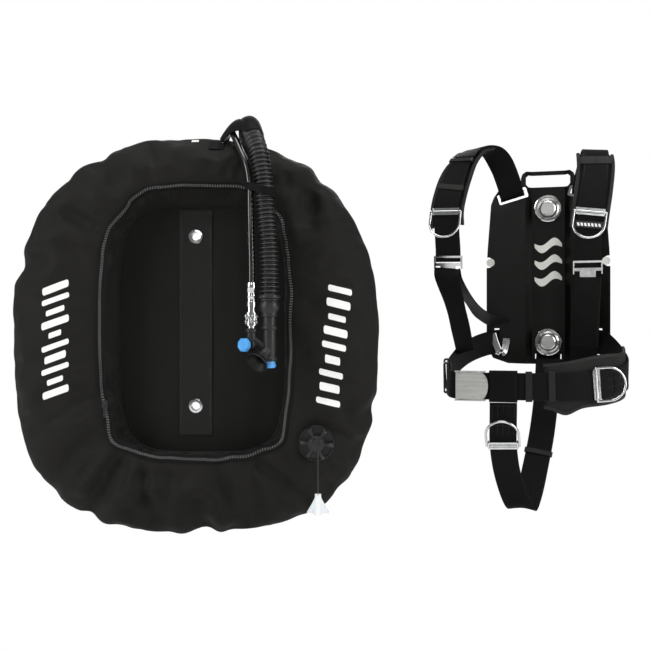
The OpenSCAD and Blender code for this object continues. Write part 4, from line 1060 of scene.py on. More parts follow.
plateShape = {"channelW": 34, "flankX": 46, "channelD": 16, "slope": 14 / 79, "thick": 3.0}
webShape = {"width": 50, "thick": 2.2, "steps": 8}


def plateY(x):
    d = abs(x)
    if d < plateShape["channelW"]:
        return 0.0
    if d < plateShape["flankX"]:
        return -plateShape["channelD"] * (d - plateShape["channelW"]) / (plateShape["flankX"] - plateShape["channelW"])
    return -plateShape["channelD"] - plateShape["slope"] * (d - plateShape["flankX"])


behind = plateShape["thick"] / 2 + webShape["thick"] / 2 + 0.3
slotX, slotY = 72, plateY(72)
slope = plateShape["slope"]
rightKnots = [
    (-slotX, slotY + behind + 0.6, 120, 1, slope, 0), (-slotX, slotY + behind + 0.8, 150, 1, slope, 0.2),
    (-slotX, slotY + behind, 160.5, 1, slope, 0.3), (-slotX, slotY, 166, 1, slope, 0.3),
    (-73, slotY - 4.5, 169.5, 1, 0.18, 0.3), (-75, slotY - 9, 177, 1, 0.18, 0.3),
    (-80, -36, 196, 1, 0.1, 0.33),
    (-92, -40, 228, 0.95, 0, 0.32), (-108, -50, 252, 0.85, -0.35, 0.22), (-126, -68, 262, 0.75, -0.6, 0.05),
    (-148, -92, 254, 0.8, -0.6, 0), (-166, -117, 230, 0.9, -0.4, 0), (-177, -136, 197, 1, -0.2, 0),
    (-186, -150, 158, 1, -0.1, 0.05), (-191, -157, 122, 1, -0.08, 0.06), (-189, -160, 84, 1, -0.05, 0),
    (-187, -159, 48, 1, 0, 0), (-187, -156, 22, 1, 0, 0)]
leftKnots = [
    (slotX, slotY + behind + 0.6, 120, 1, -slope, 0), (slotX, slotY + behind + 0.8, 150, 1, -slope, -0.2),
    (slotX, slotY + behind, 160.5, 1, -slope, -0.3), (slotX, slotY, 166, 1, -slope, -0.3),
    (72.5, slotY - 4.5, 169.5, 1, -0.18, -0.3), (74, slotY - 9, 177, 1, -0.18, -0.27),
    (79, -37, 198, 1, -0.1, -0.2),
    (88, -46, 230, 1, 0, -0.1), (94, -66, 247, 1, 0.15, -0.06), (97, -92, 234, 1, 0.1, -0.05),
    (97, -110, 204, 1, 0, 0),
    (93, -127, 160, 1, 0, 0), (87, -138, 115, 1, 0, 0.03), (83, -139, 76, 1, 0, 0), (82, -136, 40, 1, 0, 0),
    (82, -132, 8, 1, 0, 0)]
loadRightKnots = [(-186, -151, 0, 1, 0, 0), (-178, -142, -15, 0.75, -0.6, 0.1),
                  (-158, -120, -44, 0.35, -0.9, 0.2),
                  (-134, -94, -76, 0.4, -0.85, 0.2), (-112, -66, -92, 0.8, -0.45, 0.15),
                  (-99, -50, -98, 1, 0, 0.1), (-95, -43, -100, 1, 0.1, 0.05)]
tailRightKnots = [(-188.5, -162.5, 9, 1, 0, 0), (-189, -164, -2, 1, -0.04, 0),
                  (-184, -166, -22, 1, -0.35, 0.1), (-172, -170, -60, 0.85, -0.6, 0.2),
                  (-160, -174, -110, 0.8, -0.6, 0.25), (-150, -178, -158, 0.75, -0.6, 0.3)]
loadLeftKnots = [(82, -126, -10, 1, 0, 0), (81, -112, -40, 1, -0.05, 0), (79, -86, -84, 1, -0.1, 0),
                 (78, -56, -118, 1, -0.15, 0),
                 (77, -36, -138, 1, -0.18, 0), (77, -29, -149, 1, -0.18, 0)]
tailLeftKnots = [(82, -138, -12, 1, 0, 0), (80, -136, -50, 1, 0, 0), (77, -126, -100, 1, 0, 0),
                 (74, -112, -144, 1, 0, 0)]
beltRightKnots = [(-90, -16, -139, 0, 0, 1), (-98, -19.5, -139, 0, 0, 1), (-104, -26.3, -139, 0, 0, 1),
                  (-110, -34, -140, 0, 0, 1),
                  (-122, -50, -143, 0.1, 0, 1), (-142, -80, -151, 0.1, 0, 1), (-160, -118, -163, 0, -0.15, 1),
                  (-172, -160, -179, 0, -0.1, 1),
                  (-178, -205, -195, 0, -0.05, 1), (-176, -240, -208, 0, 0, 1), (-166, -264, -215, 0, 0, 1),
                  (-150, -275, -217, 0, 0, 1),
                  (-130, -278, -217, 0, 0, 1), (-112, -278.5, -217, 0, 0, 1)]
beltLeftKnots = [(90, -16, -139, 0, 0, 1), (98, -19.5, -139, 0, 0, 1), (104, -26.3, -139, 0, 0, 1),
                 (110, -34, -141, 0, 0, 1),
                 (124, -54, -150, 0, 0, 1), (144, -98, -172, 0, 0, 1), (156, -150, -192, 0, 0, 1),
                 (150, -190, -203, 0, 0, 1),
                 (124, -228, -210, 0, 0, 1), (86, -254, -214, 0, 0, 1), (34, -271, -216, 0, 0, 1),
                 (-20, -278, -217, 0, 0, 1),
                 (-66, -279.5, -217, 0, 0, 1), (-110, -279.5, -217, 0, 0, 1)]
crotchKnots = [(-66, -281.5, -247, 1, 0, 0), (-66, -281, -262, 1, 0, 0), (-67, -274, -290, 1, 0, 0),
               (-68, -262, -327, 1, 0, 0.1),
               (-64, -240, -376, 1, 0, 0.1), (-54, -212, -424, 1, 0.1, 0.1), (-44, -188, -452, 1, 0.2, 0),
               (-36, -165, -456, 1, 0.2, -0.1),
               (-27, -138, -428, 1, 0.1, -0.2), (-19, -110, -385, 1, 0, -0.2), (-10, -80, -332, 1, 0, -0.15),
               (-4, -50, -276, 1, 0, -0.1),
               (-1, -30, -224, 1, 0, -0.05), (0, -17, -187, 1, 0, 0), (0, -7, -174, 1, 0, 0),
               (0, 0, -169.5, 1, 0, 0),
               (0, behind + 0.8, -163, 1, 0, 0), (0, behind + 1.2, -156, 1, 0, 0),
               (0, behind + 1.2, -148, 1, 0, 0)]
steps = webShape["steps"]
perKnot = steps / 4  # the CAD counts four steps to a knot
rightFrames, leftFrames = webFrames(rightKnots, steps), webFrames(leftKnots, steps)
beltRightFrames, beltLeftFrames = webFrames(beltRightKnots, steps), webFrames(beltLeftKnots, steps)
crotchFrames = webFrames(crotchKnots, steps)
loadRightFrames, tailRightFrames = webFrames(loadRightKnots, steps), webFrames(tailRightKnots, steps)
loadLeftFrames, tailLeftFrames = webFrames(loadLeftKnots, steps), webFrames(tailLeftKnots, steps)


def cut(frames, start, end):
    return frames[int(start * perKnot):int(end * perKnot) + 1]


w, t = webShape["width"], webShape["thick"]
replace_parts(webPiece("shoulderWebRight", rightFrames, w, t, "harness", seed=1), "shoulder_web_right")
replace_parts(webPiece("shoulderWebLeft", leftFrames, w, t, "harness", seed=2), "shoulder_web_left")
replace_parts(webPiece("loadWebRight", loadRightFrames, w, t, "harness", seed=3), "load_web_right")
webPiece("tailWebRight", tailRightFrames, w, t, "harness", seed=4, waveMm=2.0)
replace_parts(webPiece("loadWebLeft", loadLeftFrames, w, t, "harness", seed=5), "load_web_left")
webPiece("tailWebLeft", tailLeftFrames, w, t, "harness", seed=6, waveMm=2.0)
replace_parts(webPiece("beltRight", beltRightFrames, w, t, "harness", seed=7), "waist_web_right")
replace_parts(webPiece("beltLeft", beltLeftFrames, w, t, "harness", seed=8), "waist_web_left")
lap = t + 0.3
webPiece("beltEnd", cut(beltLeftFrames, 29, 48), w, t, "harness", lift=lap, seed=9)
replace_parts(webPiece("crotchWeb", crotchFrames, w, t, "harness", seed=10), "crotch_web")
# sewn boxes and edges
webStitches("rightWebStitches", cut(rightFrames, 16, 50), (-21.5, 21.5), -(t / 2 + 0.1), crossings=(0, 6))
webStitches("leftWebStitches", cut(leftFrames, 16, 42), (-21.5, 21.5), -(t / 2 + 0.1), crossings=(0, 6))
webStitches("crotchStitches", cut(crotchFrames, 2, 10), (-20, -10, 0, 10, 20), -(t / 2 + 0.1),
            crossings=(0, 12))
webStitches("beltEndStitches", cut(beltLeftFrames, 29, 33), (-21, -7, 7, 21), t / 2 + 0.1, lap,
            crossings=(2, 6))
print("webbing is laid")

# shoulder pads and hip pad
padShape = {"rightWidth": 66, "leftWidth": 70, "thick": 7, "bindingMm": 7}
padSection = []
for i in range(32):
    turn = 2 * math.pi * i / 32
    c, s = math.cos(turn), math.sin(turn)
    padSection.append((0.5 * math.copysign(abs(c) ** 0.35, c),
                       0.5 * math.copysign(abs(s) ** 0.75, s) * (0.72 + 0.28 * (1 - abs(c) ** 3))))


def shoulderPad(name, frames, widthMm, thickMm, lift, material, replaced=(), channels=True, seed=0.0,
                bulges=()):
    # a foam pad with a crowned face, cross seams every 45 mm and a taped edge
    rows, lengths = [], [0.0]
    for i, (p, wd, n, tg) in enumerate(frames):
        if i:
            lengths.append(lengths[-1] + (p - frames[i - 1][0]).length)
    total = lengths[-1]

    def edgeOut(i, side):
        # how far an edge stands out there: each bulge gives its place along the pad, side, height and length
        return sum(high * math.exp(-((lengths[i] / total - at) / wide) ** 2) for at, which, high,
                   wide in bulges if which == side)

    for i, (p, wd, n, tg) in enumerate(frames):
        along = lengths[i]
        ends = min(1.0, (min(along, total - along) + 1.2) / 9) ** 0.5
        seam = 1 - (0.42 * math.exp(-(((along + 20) % 45 - 22.5) / 3.2) ** 2) if channels else 0)
        row = []
        for u, v in padSection:
            swell = 1 + 0.25 * noise.noise(Vector((u * 3, along / 30, seed)))
            reach = u * widthMm * (0.93 + 0.07 * ends) + 2 * u * edgeOut(i, 1 if u > 0 else -1)
            row.append((p + wd * reach + n * (lift + v * thickMm * ends * seam * swell)) * mm)
        rows.append(row)
    flat = [0.0]
    for (u0, v0), (u1, v1) in zip(padSection, padSection[1:] + padSection[:1]):
        flat.append(flat[-1] + math.hypot((u1 - u0) * widthMm, (v1 - v0) * thickMm) * mm)
    piece = sheetMesh(name, rows, roundRow=True, capEnds=True, texture=lambda i,
                      k: (flat[k], lengths[min(i, len(lengths) - 1)] * mm))
    faceOutwards(piece)
    addModifier(piece, "SUBSURF", levels=1, render_levels=1)
    settle(piece, name, "harness", materials[material], harnessPlace, smooth=180)
    if replaced:
        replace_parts(piece, *replaced)
    # tape folded over both long edges
    tapes = []
    for side in (-1, 1):
        rows = []
        for i, (p, wd, n, tg) in enumerate(frames):
            edge = p + wd * side * (widthMm * 0.5 + edgeOut(i, side))
            row = []
            for k in range(9):
                turn = math.pi * (k / 8 - 0.5)
                row.append((edge + wd * side * (1.1 * math.cos(turn) - (0 if 0 < k < 8 else 5.0))
                            + n * (lift + math.sin(turn) * 2.7)) * mm)
            rows.append(row)
        tapes.append(sheetMesh(name + "Tape", rows, texture=lambda i,
                               k: ((k - 4) * mm, lengths[min(i, len(lengths) - 1)] * mm)))
    tape = joined(tapes)
    addModifier(tape, "SOLIDIFY", thickness=0.7 * mm, offset=1)
    settle(tape, name + "Tape", "harness", materials["tape"], harnessPlace, smooth=60)
    return piece


slideBar = 3
lift = t / 2 + slideBar + 0.9 + padShape["thick"] / 2
shoulderPad("shoulderPadRight", cut(rightFrames, 36, 59), padShape["rightWidth"], padShape["thick"], lift,
            "padCloth", ("shoulder_pads",), seed=1)
shoulderPad("shoulderPadLeft", cut(leftFrames, 34, 51), padShape["leftWidth"], padShape["thick"], lift,
            "padCloth", seed=2)
shoulderPad("hipPad", cut(beltLeftFrames, 22, 42), 78, 6.0, -(t / 2 + 4 + 3.0), "hipCloth",
            ("hip_pad",), channels=False, seed=3,
            bulges=((0.84, -1, 13, 0.09), (0.52, 1, 13, 0.3)))
print("pads are stuffed")


# loops: keepers on the belt and crotch strap, and bands on the hoses
def loopPiece(name, frame, innerWide, innerThick, wallMm, longMm, body, material, place=None, shift=0.0,
              roundMm=1.6):
    # a band round a strap: frame gives its middle, width, normal and run
    p, wd, n, tg = frame
    outline = []
    a, b = innerWide / 2 + wallMm / 2, innerThick / 2 + wallMm / 2
    for cx, cy, start in ((a - roundMm, b - roundMm, 0), (-a + roundMm, b - roundMm, 90),
                          (-a + roundMm, -b + roundMm, 180), (a - roundMm, -b + roundMm, 270)):
        for k in range(7):
            turn = math.radians(start + 15 * k)
            outline.append((cx + roundMm * math.cos(turn), cy + roundMm * math.sin(turn)))
    rows = []
    stepsLong = 12
    for i in range(stepsLong + 1):
        u = i / stepsLong - 0.5
        rows.append([(p + wd * x + n * (y + shift) + tg * u * longMm) * mm for x, y in outline])
    walk = [0.0]
    for q0, q1 in zip(outline, outline[1:] + outline[:1]):
        walk.append(walk[-1] + math.hypot(q1[0] - q0[0], q1[1] - q0[1]) * mm)
    piece = sheetMesh(name, rows, roundRow=True, texture=lambda i,
                      k: ((i / stepsLong - 0.5) * longMm * mm, walk[k]))
    faceOutwards(piece)
    addModifier(piece, "SOLIDIFY", thickness=wallMm * mm, offset=0)
    bevelEdges(piece, 0.3 * wallMm * mm, 2,
               lambda edge: len(edge.link_faces) == 2 and edge.calc_face_angle(0) > 1.0)
    return settle(piece, name, body, materials[material], place, smooth=50)


webWide, webThick = webShape["width"] + 2.4, webShape["thick"] + 1.6
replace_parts(loopPiece("beltKeeperInner", beltLeftFrames[int(41 * perKnot)], webWide, webThick + lap, 1.6, 12,
                      "harness", "mattRubber", harnessPlace, lap / 2), "web_keepers")
loopPiece("beltKeeperOuter", beltLeftFrames[int(44 * perKnot)], webWide, webThick + lap, 1.6, 12, "harness",
          "mattRubber", harnessPlace, lap / 2)
loopPiece("crotchKeeper", crotchFrames[int(38 * perKnot)], webWide, webThick, 1.6, 10, "harness",
          "mattRubber", harnessPlace)
loopPiece("crotchLoop", (Vector((-66, -281.5, -217)), Vector((0, 0, 1)), Vector((0, 1, 0)),
                         Vector((1, 0, 0))), 54, 9, 2.2, 51, "harness", "webbing", harnessPlace,
                         roundMm=3.4)
loopPiece("shoulderBandLeft", leftFrames[int(50.6 * perKnot)], 54, 4.6, 1.4, 13, "harness", "rubber",
          harnessPlace)
loopPiece("shoulderBandRight", rightFrames[int(44 * perKnot)], 54, 4.6, 1.4, 9, "harness", "rubber",
          harnessPlace)
print("keepers are on")


# hardware kept from the frame: real metal, rubber and plastic on it
finishes = {
    "grommets": "polished", "zip_slider": "plastic", "elbow_base": "plastic", "elbow": "rubber",
    "inflator_body": "plastic", "air_nipple": "polished", "inflate_spring": "polished",
    "deflate_spring": "polished",
    "coupling_body": "polished", "coupling_sleeve": "polished", "regulator_fitting": "polished",
    "dump_base": "plastic",
    "dump_poppet": "plastic", "dump_spring": "polished", "gaskets": "rubber", "backplate": "plate",
    "strap_frames": "polished", "bolt_cups": "polished", "thumbscrew_upper": "brushed",
    "thumbscrew_lower": "brushed", "d_ring_slides": "polished", "d_ring_right": "polished",
    "d_ring_left": "polished",
    "d_ring_hip": "polished", "d_ring_crotch": "polished", "adjusters": "polished",
    "adjuster_tab_right": "polished",
    # the left adjuster tab takes the darker copy of the polished steel: painted shade
    "adjuster_tab_left": "shadedSteel", "hip_anchors": "plate", "buckle_frame": "brushed",
    "buckle_lever": "brushed"}
for nodeName, finish in finishes.items():
    nodes[nodeName].data.materials.clear()
    nodes[nodeName].data.materials.append(materials[finish])
print("hardware is finished")


# dump valve cage
facingOut = Matrix.Rotation(math.pi / 2, 4, "X")
dumpPlace = Matrix.Translation(Vector((199, -54, -194)) * mm) @ facingOut
dumpShape = {"windows": 6, "spokeDeg": 15, "wallMm": 1.6}


def makeCage(s):
    around = 144
    profile = [(28.2, 4.7), (28.4, 7.2), (27.9, 10.5), (26.6, 13.8), (24.6, 16.4), (22.0, 18.0), (19.0, 19.0),
               (16.0, 19.6),
               (13.0, 20.0), (10.4, 20.2), (9.4, 20.9), (9.2, 24.6), (8.7, 26.2), (7.4, 26.9), (4.2, 27.1),
               (3.9, 26.4), (1.4, 26.2)]
    piece = turned("dumpCage", profile, around)
    step = 360 / s["windows"]

    def inWindow(face):
        c = face.calc_center_median() / mm
        r = math.hypot(c.x, c.y)
        turn = (math.degrees(math.atan2(c.y, c.x)) + 12) % step
        return (12.6 < r < 27.3 and 10.0 < c.z < 20.3 and s["spokeDeg"] < turn) or c.z < 5.0 and r < 20
    selectFaces(piece, inWindow)
    bpy.ops.mesh.delete(type="FACE")
    objectMode()
    addModifier(piece, "SOLIDIFY", thickness=s["wallMm"] * mm, offset=-1)
    bevelEdges(piece, 0.32 * mm, 2, lambda edge: len(edge.link_faces) == 2 and edge.calc_face_angle(0) > 0.9)
    settle(piece, "dumpCage", "wing", materials["plastic"], dumpPlace, smooth=35)
    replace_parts(piece, "dump_cap")
    # grip ribs round the skirt
    ribs = []
    for k in range(36):
        turn = 2 * math.pi * k / 36
        ribs.append(block((0.9, 1.1, 3.6), (28.5 * math.cos(turn), 28.5 * math.sin(turn), 3.0), turn))
    ribs = joined(ribs)
    bevelAll(ribs, 0.25 * mm, 1)
    settle(ribs, "dumpRibs", "wing", materials["plastic"], dumpPlace, smooth=40)


makeCage(dumpShape)

knobShape = {"tallMm": 30, "topMm": 5.0, "bottomMm": 19.0, "lobes": 4}


def makeKnob(s):
    around = 96
    rows = []
    inner = []
    levels = 26
    for i in range(levels + 1):
        h = i / levels
        flare = max(0.0, (h - 0.16) / 0.84) ** 1.15
        row, hollow = [], []
        for k in range(around):
            turn = 2 * math.pi * k / around
            lobe = 0.5 + 0.5 * math.cos(s["lobes"] * turn)
            r = s["topMm"] + (s["bottomMm"] - s["topMm"]) * flare * (0.62 + 0.38 * lobe ** 0.8)
            if h > 0.92:
                r -= 1.5 * ((h - 0.92) / 0.08) ** 2
            drop = 2.4 * flare * (1 - lobe) * h
            row.append(Vector((r * math.cos(turn), r * math.sin(turn), -s["tallMm"] * h + drop)) * mm)
            hollow.append(Vector((max(1.5, (r - 2.4) * 0.9) * math.cos(turn),
                                  max(1.5, (r - 2.4) * 0.9) * math.sin(turn),
                                  -s["tallMm"] * (0.5 + 0.48 * h) + drop)) * mm)
        rows.append(row)
        inner.append(hollow)
    piece = sheetMesh("pullKnob", rows + inner[::-1], roundRow=True, capEnds=True)
    faceOutwards(piece)
    settle(piece, "pullKnob", "dump_pull", materials["white"],
           Matrix.Translation(pullEnd * mm), smooth=50)
    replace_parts(piece, "pull_knob")


makeKnob(knobShape)
print("dump valve is built")

# inflator
tubeAt = Vector((126, -86, 0))
couplingAt = Vector((98, -86, 0))
feedAt = Vector((98, -86, -37))
buttonDir = Vector((-0.6, -0.8, 0))
mouthDir = Vector((-15, -20, -19)).normalized()
mouthRoot = Vector((126, -86, -42))
cuff = turned("hoseCuff", [(12.6, 34), (13.4, 32), (14.6, 29.4), (15.6, 26.4), (15.9, 23), (15.4, 19.2),
                           (14.0, 15.4), (12.4, 12.4), (11.7, 10.4),
                           (12.4, 9.6), (13.2, 8.8), (13.3, 7.6), (12.6, 6.6), (11.2, 6.0)], 64)
settle(cuff, "hoseCuff", "wing", materials["rubber"], Matrix.Translation(tubeAt * mm), smooth=50)
bell = turned("mouthBell", [(8.6, 0), (9.9, 0.4), (10.2, 2.2), (9.4, 3.2), (9.3, 5.0), (10.2, 7.0),
                            (12.4, 10.0), (15.2, 12.8), (17.6, 15.4), (18.2, 16.8),
                            (17.8, 17.8), (17.0, 17.6), (15.6, 14.6), (12.9, 10.8), (10.2, 7.6), (8.8, 4.6),
                            (8.3, 1.2), (8.2, -2.0), (8.6, -2.0)], 72, closed=True)
settle(bell, "mouthBell", "wing", materials["mattRubber"],
       pointing((mouthRoot + 20.1 * mouthDir) * mm, mouthDir), smooth=50)
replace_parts(bell, "mouthpiece")
# a cross web inside the mouth, as a bite valve has
grille = []
for turn in (0, math.pi / 3, 2 * math.pi / 3):
    grille.append(block((15.6, 1.5, 2.4), (0, 0, 1.6), turn))
grille = joined(grille)
bevelAll(grille, 0.4 * mm, 2)
settle(grille, "mouthGrille", "wing", materials["plastic"],
       pointing((mouthRoot + 20.1 * mouthDir) * mm, mouthDir), smooth=40)

buttonShape = {"sides": 8, "radiusMm": 11.0, "tallMm": 7.6}


def makeInflateCap(s):
    bpy.ops.mesh.primitive_cylinder_add(vertices=s["sides"], radius=s["radiusMm"] * mm,
                                        depth=s["tallMm"] * mm, location=(0, 0, s["tallMm"] * mm / 2),
                                        rotation=(0, 0, math.pi / 8))
    piece = bpy.context.object
    pick(piece)
    bpy.ops.object.transform_apply(location=True, rotation=True, scale=True)
    selectFaces(piece, lambda face: face.normal.z > 0.9)
    bpy.ops.mesh.inset(thickness=3.0 * mm, depth=2.2 * mm)
    bpy.ops.mesh.inset(thickness=0.9 * mm, depth=-0.5 * mm)
    objectMode()
    bevelEdges(piece, 0.6 * mm, 3, lambda edge: edge.calc_face_angle(0) > 0.3)
    stem = turned("stem", [(2.5, -11), (2.5, 0.4)], 24)
    piece = joined([piece, stem])
    start = feedAt + (10 + 3 + 0.3) * buttonDir
    settle(piece, "inflateCap", "inflate_button", materials["blue"],
           pointing(start * mm, buttonDir), smooth=20)
    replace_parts(piece, "inflate_button")


makeInflateCap(buttonShape)


def makeDeflateCap():
    piece = turned("deflateCap", [(9.2, -60.2), (9.2, -66.4), (9.9, -66.8), (10.3, -67.6), (10.3, -70.6),
                                  (9.2, -73.0), (7.8, -73.4), (7.2, -72.6), (3.0, -72.4)], 10)
    bevelEdges(piece, 0.45 * mm, 2, lambda edge: edge.calc_face_angle(0) > 0.45)
    faceOutwards(piece)
    settle(piece, "deflateCap", "deflate_button", materials["blue"],
           Matrix.Translation(tubeAt * mm), smooth=28)
    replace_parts(piece, "deflate_button")


makeDeflateCap()
# collars, guard ring and moulded ribs of the body
ringAround = [
    ("feedCollar", [(8.2, -12), (9.1, -12.4), (9.3, -14.5), (9.0, -16.8), (8.1, -17.2)], couplingAt),
    ("tubeCollar", [(10.6, -8), (11.5, -8.6), (11.7, -10.5), (11.5, -12.6), (10.6, -13.2)], tubeAt),
    ("tubeFoot", [(10.6, -56.4), (11.4, -57), (11.6, -59.5), (11.4, -61.4), (10.7, -61.9)], tubeAt)]
for ringName, profile, at in ringAround:
    ring = turned(ringName, profile, 56)
    selectFaces(ring, lambda face: len(face.verts) > 4)
    bpy.ops.mesh.delete(type="FACE")
    objectMode()
    addModifier(ring, "SOLIDIFY", thickness=0.9 * mm, offset=-1)
    faceOutwards(ring)
    settle(ring, ringName, "wing", materials["plastic"], Matrix.Translation(at * mm),
           smooth=50)
guard = turned("buttonGuard", [(10.5, 4.8), (11.9, 5.2), (12.1, 9.4), (11.5, 10.2), (10.9, 10.2), (10.7, 9.4),
                               (10.7, 5.4)], 56, closed=True)
settle(guard, "buttonGuard", "wing", materials["plastic"], pointing(feedAt * mm, buttonDir),
       smooth=50)
print("inflator is built")


# coupling: a knurled sleeve
def makeKnurls():
    pieces = []
    for level in range(2):
        for k in range(22):
            turn = 2 * math.pi * (k + 0.5 * level) / 22
            middle = (couplingAt.x + 9.5 * math.cos(turn), couplingAt.y + 9.5 * math.sin(turn),
                      -1.6 + 9.4 * level)
            pieces.append(block((1.3, 1.5, 5.4), middle, turn))
    piece = joined(pieces)
    bevelAll(piece, 0.35 * mm, 1)
    settle(piece, "sleeveKnurls", "coupling_sleeve", materials["polished"], smooth=40)


makeKnurls()
ferrule = turned("crimpFerrule", [(7.4, 27), (8.0, 27.4), (8.0, 33), (7.5, 33.6), (7.5, 36), (8.0, 36.6),
                                  (8.0, 42), (7.5, 42.6), (7.5, 45), (8.0, 45.6), (8.0, 58), (7.4, 60.4),
                                  (5.4, 60.8)], 48)
settle(ferrule, "crimpFerrule", "wing", materials["polished"],
       Matrix.Translation(couplingAt * mm), smooth=40)


# bands on the hoses
def hoseBand(name, circles, lowMm, highMm, tilt, wallMm, material):
    # an elastic band pulled tight round both hoses
    count = 72
    rows = []
    for v in range(7):
        row = []
        for k in range(count):
            turn = 2 * math.pi * k / count
            n = Vector((math.cos(turn), math.sin(turn), 0))
            c, r = max(circles, key=lambda item: Vector(item[0]).dot(n.xy) + item[1])
            p = Vector((c[0], c[1], 0)) + n * r
            p.z = lowMm + (highMm - lowMm) * v / 6 - tilt * (p.x - 110)
            row.append(p * mm)
        rows.append(row)
    piece = sheetMesh(name, rows, roundRow=True, texture=lambda i,
                      k: ((i - 3) * (highMm - lowMm) / 6 * mm, k * 1.7 * mm))
    addModifier(piece, "SOLIDIFY", thickness=wallMm * mm, offset=1)
    faceOutwards(piece)
    settle(piece, name, "wing", materials[material], smooth=50)
    return piece


band = hoseBand("hoseBand", [((118.0, -84.5), 17.2), ((95.4, -84.4), 6.6)], 200, 212, 0.3, 1.4, "webbing")
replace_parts(band, "hose_band")
bandTail = webFrames([(134, -92, 203, 0.8, 0.1, 0.6), (141, -84, 192, 0.8, 0.1, 0.6),
                      (146, -72, 176, 0.85, 0.1, 0.5), (150, -60, 160, 0.9, 0.1, 0.4)], 6)
webPiece("bandTail", bandTail, 5, 1.2, "wing", "webbing", place=Matrix.Identity(4), waveMm=0.2)
for tieName, at, low in (("upperTie", (80, 80), 264), ("lowerTie", (126, -86), 35)):
    tie = turned(tieName, [(15.2, low), (17.0, low + 0.3), (17.3, low + 1), (17.3, low + 4),
                           (17.0, low + 4.7), (15.2, low + 5)], 64, closed=True)
    faceOutwards(tie)
    settle(tie, tieName, "wing", materials["plastic"],
           Matrix.Translation(Vector((*at, 0)) * mm), smooth=40)
    if tieName == "upperTie":
        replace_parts(tie, "hose_ties")

wrapShape = {"from": (84, 24, 319), "to": (99, -60, 293), "gapMm": 1.0, "thickMm": 1.5, "leftDeg": -48,
             "rightDeg": 112, "humpMm": 10}


def makeWrap(s):
    # a cloth strap laid over the hose's crest, its left side running down to the wing's top seam
    start = min(range(len(hosePath)), key=lambda i: (hosePath[i] / mm - Vector(s["from"])).length)
    end = min(range(len(hosePath)), key=lambda i: (hosePath[i] / mm - Vector(s["to"])).length)
    rows, count = [], 30
    for j in range(25):
        i = start + (end - start) * j / 24
        p = hosePath[int(i)].lerp(hosePath[int(i) + 1], i - int(i)) / mm
        t = tangentAt(hosePath, int(i))
        side = Vector((1, 0, 0)) - t.x * t
        side.normalize()
        up = side.cross(t)
        up = up if up.z > 0 else -up
        row = []
        shift = 8 * (j / 24 - 0.5)
        for k in range(count + 1):
            turn = math.radians(s["leftDeg"] + shift
                                + (s["rightDeg"] - s["leftDeg"] - 2.2 * shift) * k / count)
            r = 16 + s["gapMm"] + 0.5 * noise.noise(Vector((turn * 2, j / 7, 3)))
            row.append((p + side * r * math.sin(turn) + up * r * math.cos(turn)) * mm)
        # the free left part goes on to the seam
        foot = Vector((40 + 0.10 * j, -6 - 0.62 * j, 301 - 0.46 * j)) * mm
        first = row[0]
        row = [first.lerp(foot, 1 - n / 8)
               + Vector((0, 0, s["humpMm"] * mm * math.sin(math.pi * n / 8) ** 0.7)) for n in range(8)] + row
        rows.append(row)
    piece = sheetMesh("hoseWrap", rows, texture=lambda i, k: ((i - 12) * 3.6 * mm, k * 2.3 * mm))
    addModifier(piece, "SUBSURF", levels=1, render_levels=1)
    addModifier(piece, "SOLIDIFY", thickness=s["thickMm"] * mm, offset=1)
    faceOutwards(piece)
    settle(piece, "hoseWrap", "wing", materials["webbing"], smooth=60)
    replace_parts(piece, "hose_wrap")


makeWrap(wrapShape)


def seamPatch(name, x, z, wide, tall, material, liftMm, thickMm):
    # a small patch laid on the cloth
    rows = []
    for i in range(9):
        rows.append([onWing(x + wide * (k / 12 - 0.5), z + tall * (i / 8 - 0.5), liftMm)[0]
                     for k in range(13)])
    piece = sheetMesh(name, rows, texture=lambda i, k: (rows[i][k].x, rows[i][k].z))
    addModifier(piece, "SOLIDIFY", thickness=thickMm * mm, offset=0)
    addModifier(piece, "BEVEL", width=0.3 * thickMm * mm, segments=2)
    settle(piece, name, "wing", materials[material], smooth=50)


seamPatch("topPatch", 37, 286, 26, 16, "webbing", 1.2, 1.4)
seamPatch("patchGlint", 46, 291, 5, 2.4, "polished", 2.2, 0.6)
seamPatch("whiteTab", 1, 294, 12, 4, "ink", 0.8, 0.8)
print("bands are on")

# plate emblem and small fittings
emblemShape = {"waves": 3, "halfW": 28, "topZ": 63, "pitch": 35, "tall": 17, "swing": 8, "y": -1.72,
               "thick": 0.25}


def makeEmblem(s):
    pieces = []
    for n in range(s["waves"]):
        rows = []
        for i in range(7):
            v = i / 6 - 0.5
            row = []
            for k in range(41):
                u = 2 * k / 40 - 1
                taper = 1 - 0.55 * abs(u) ** 3
                row.append(Vector((u * s["halfW"], s["y"],
                                   s["topZ"] - n * s["pitch"] + s["swing"] * math.sin(u * math.pi)
                                   + v * s["tall"] * taper)) * mm)
            rows.append(row)
        pieces.append(sheetMesh("emblem", rows))
    piece = joined(pieces)
    addModifier(piece, "SOLIDIFY", thickness=s["thick"] * mm, offset=0)
    settle(piece, "plateEmblem", "harness", materials["emblemInk"], harnessPlace, smooth=40)


makeEmblem(emblemShape)

tabShape = {"x": 117, "z": 27, "radiusMm": 8.4, "thickMm": 3.6}


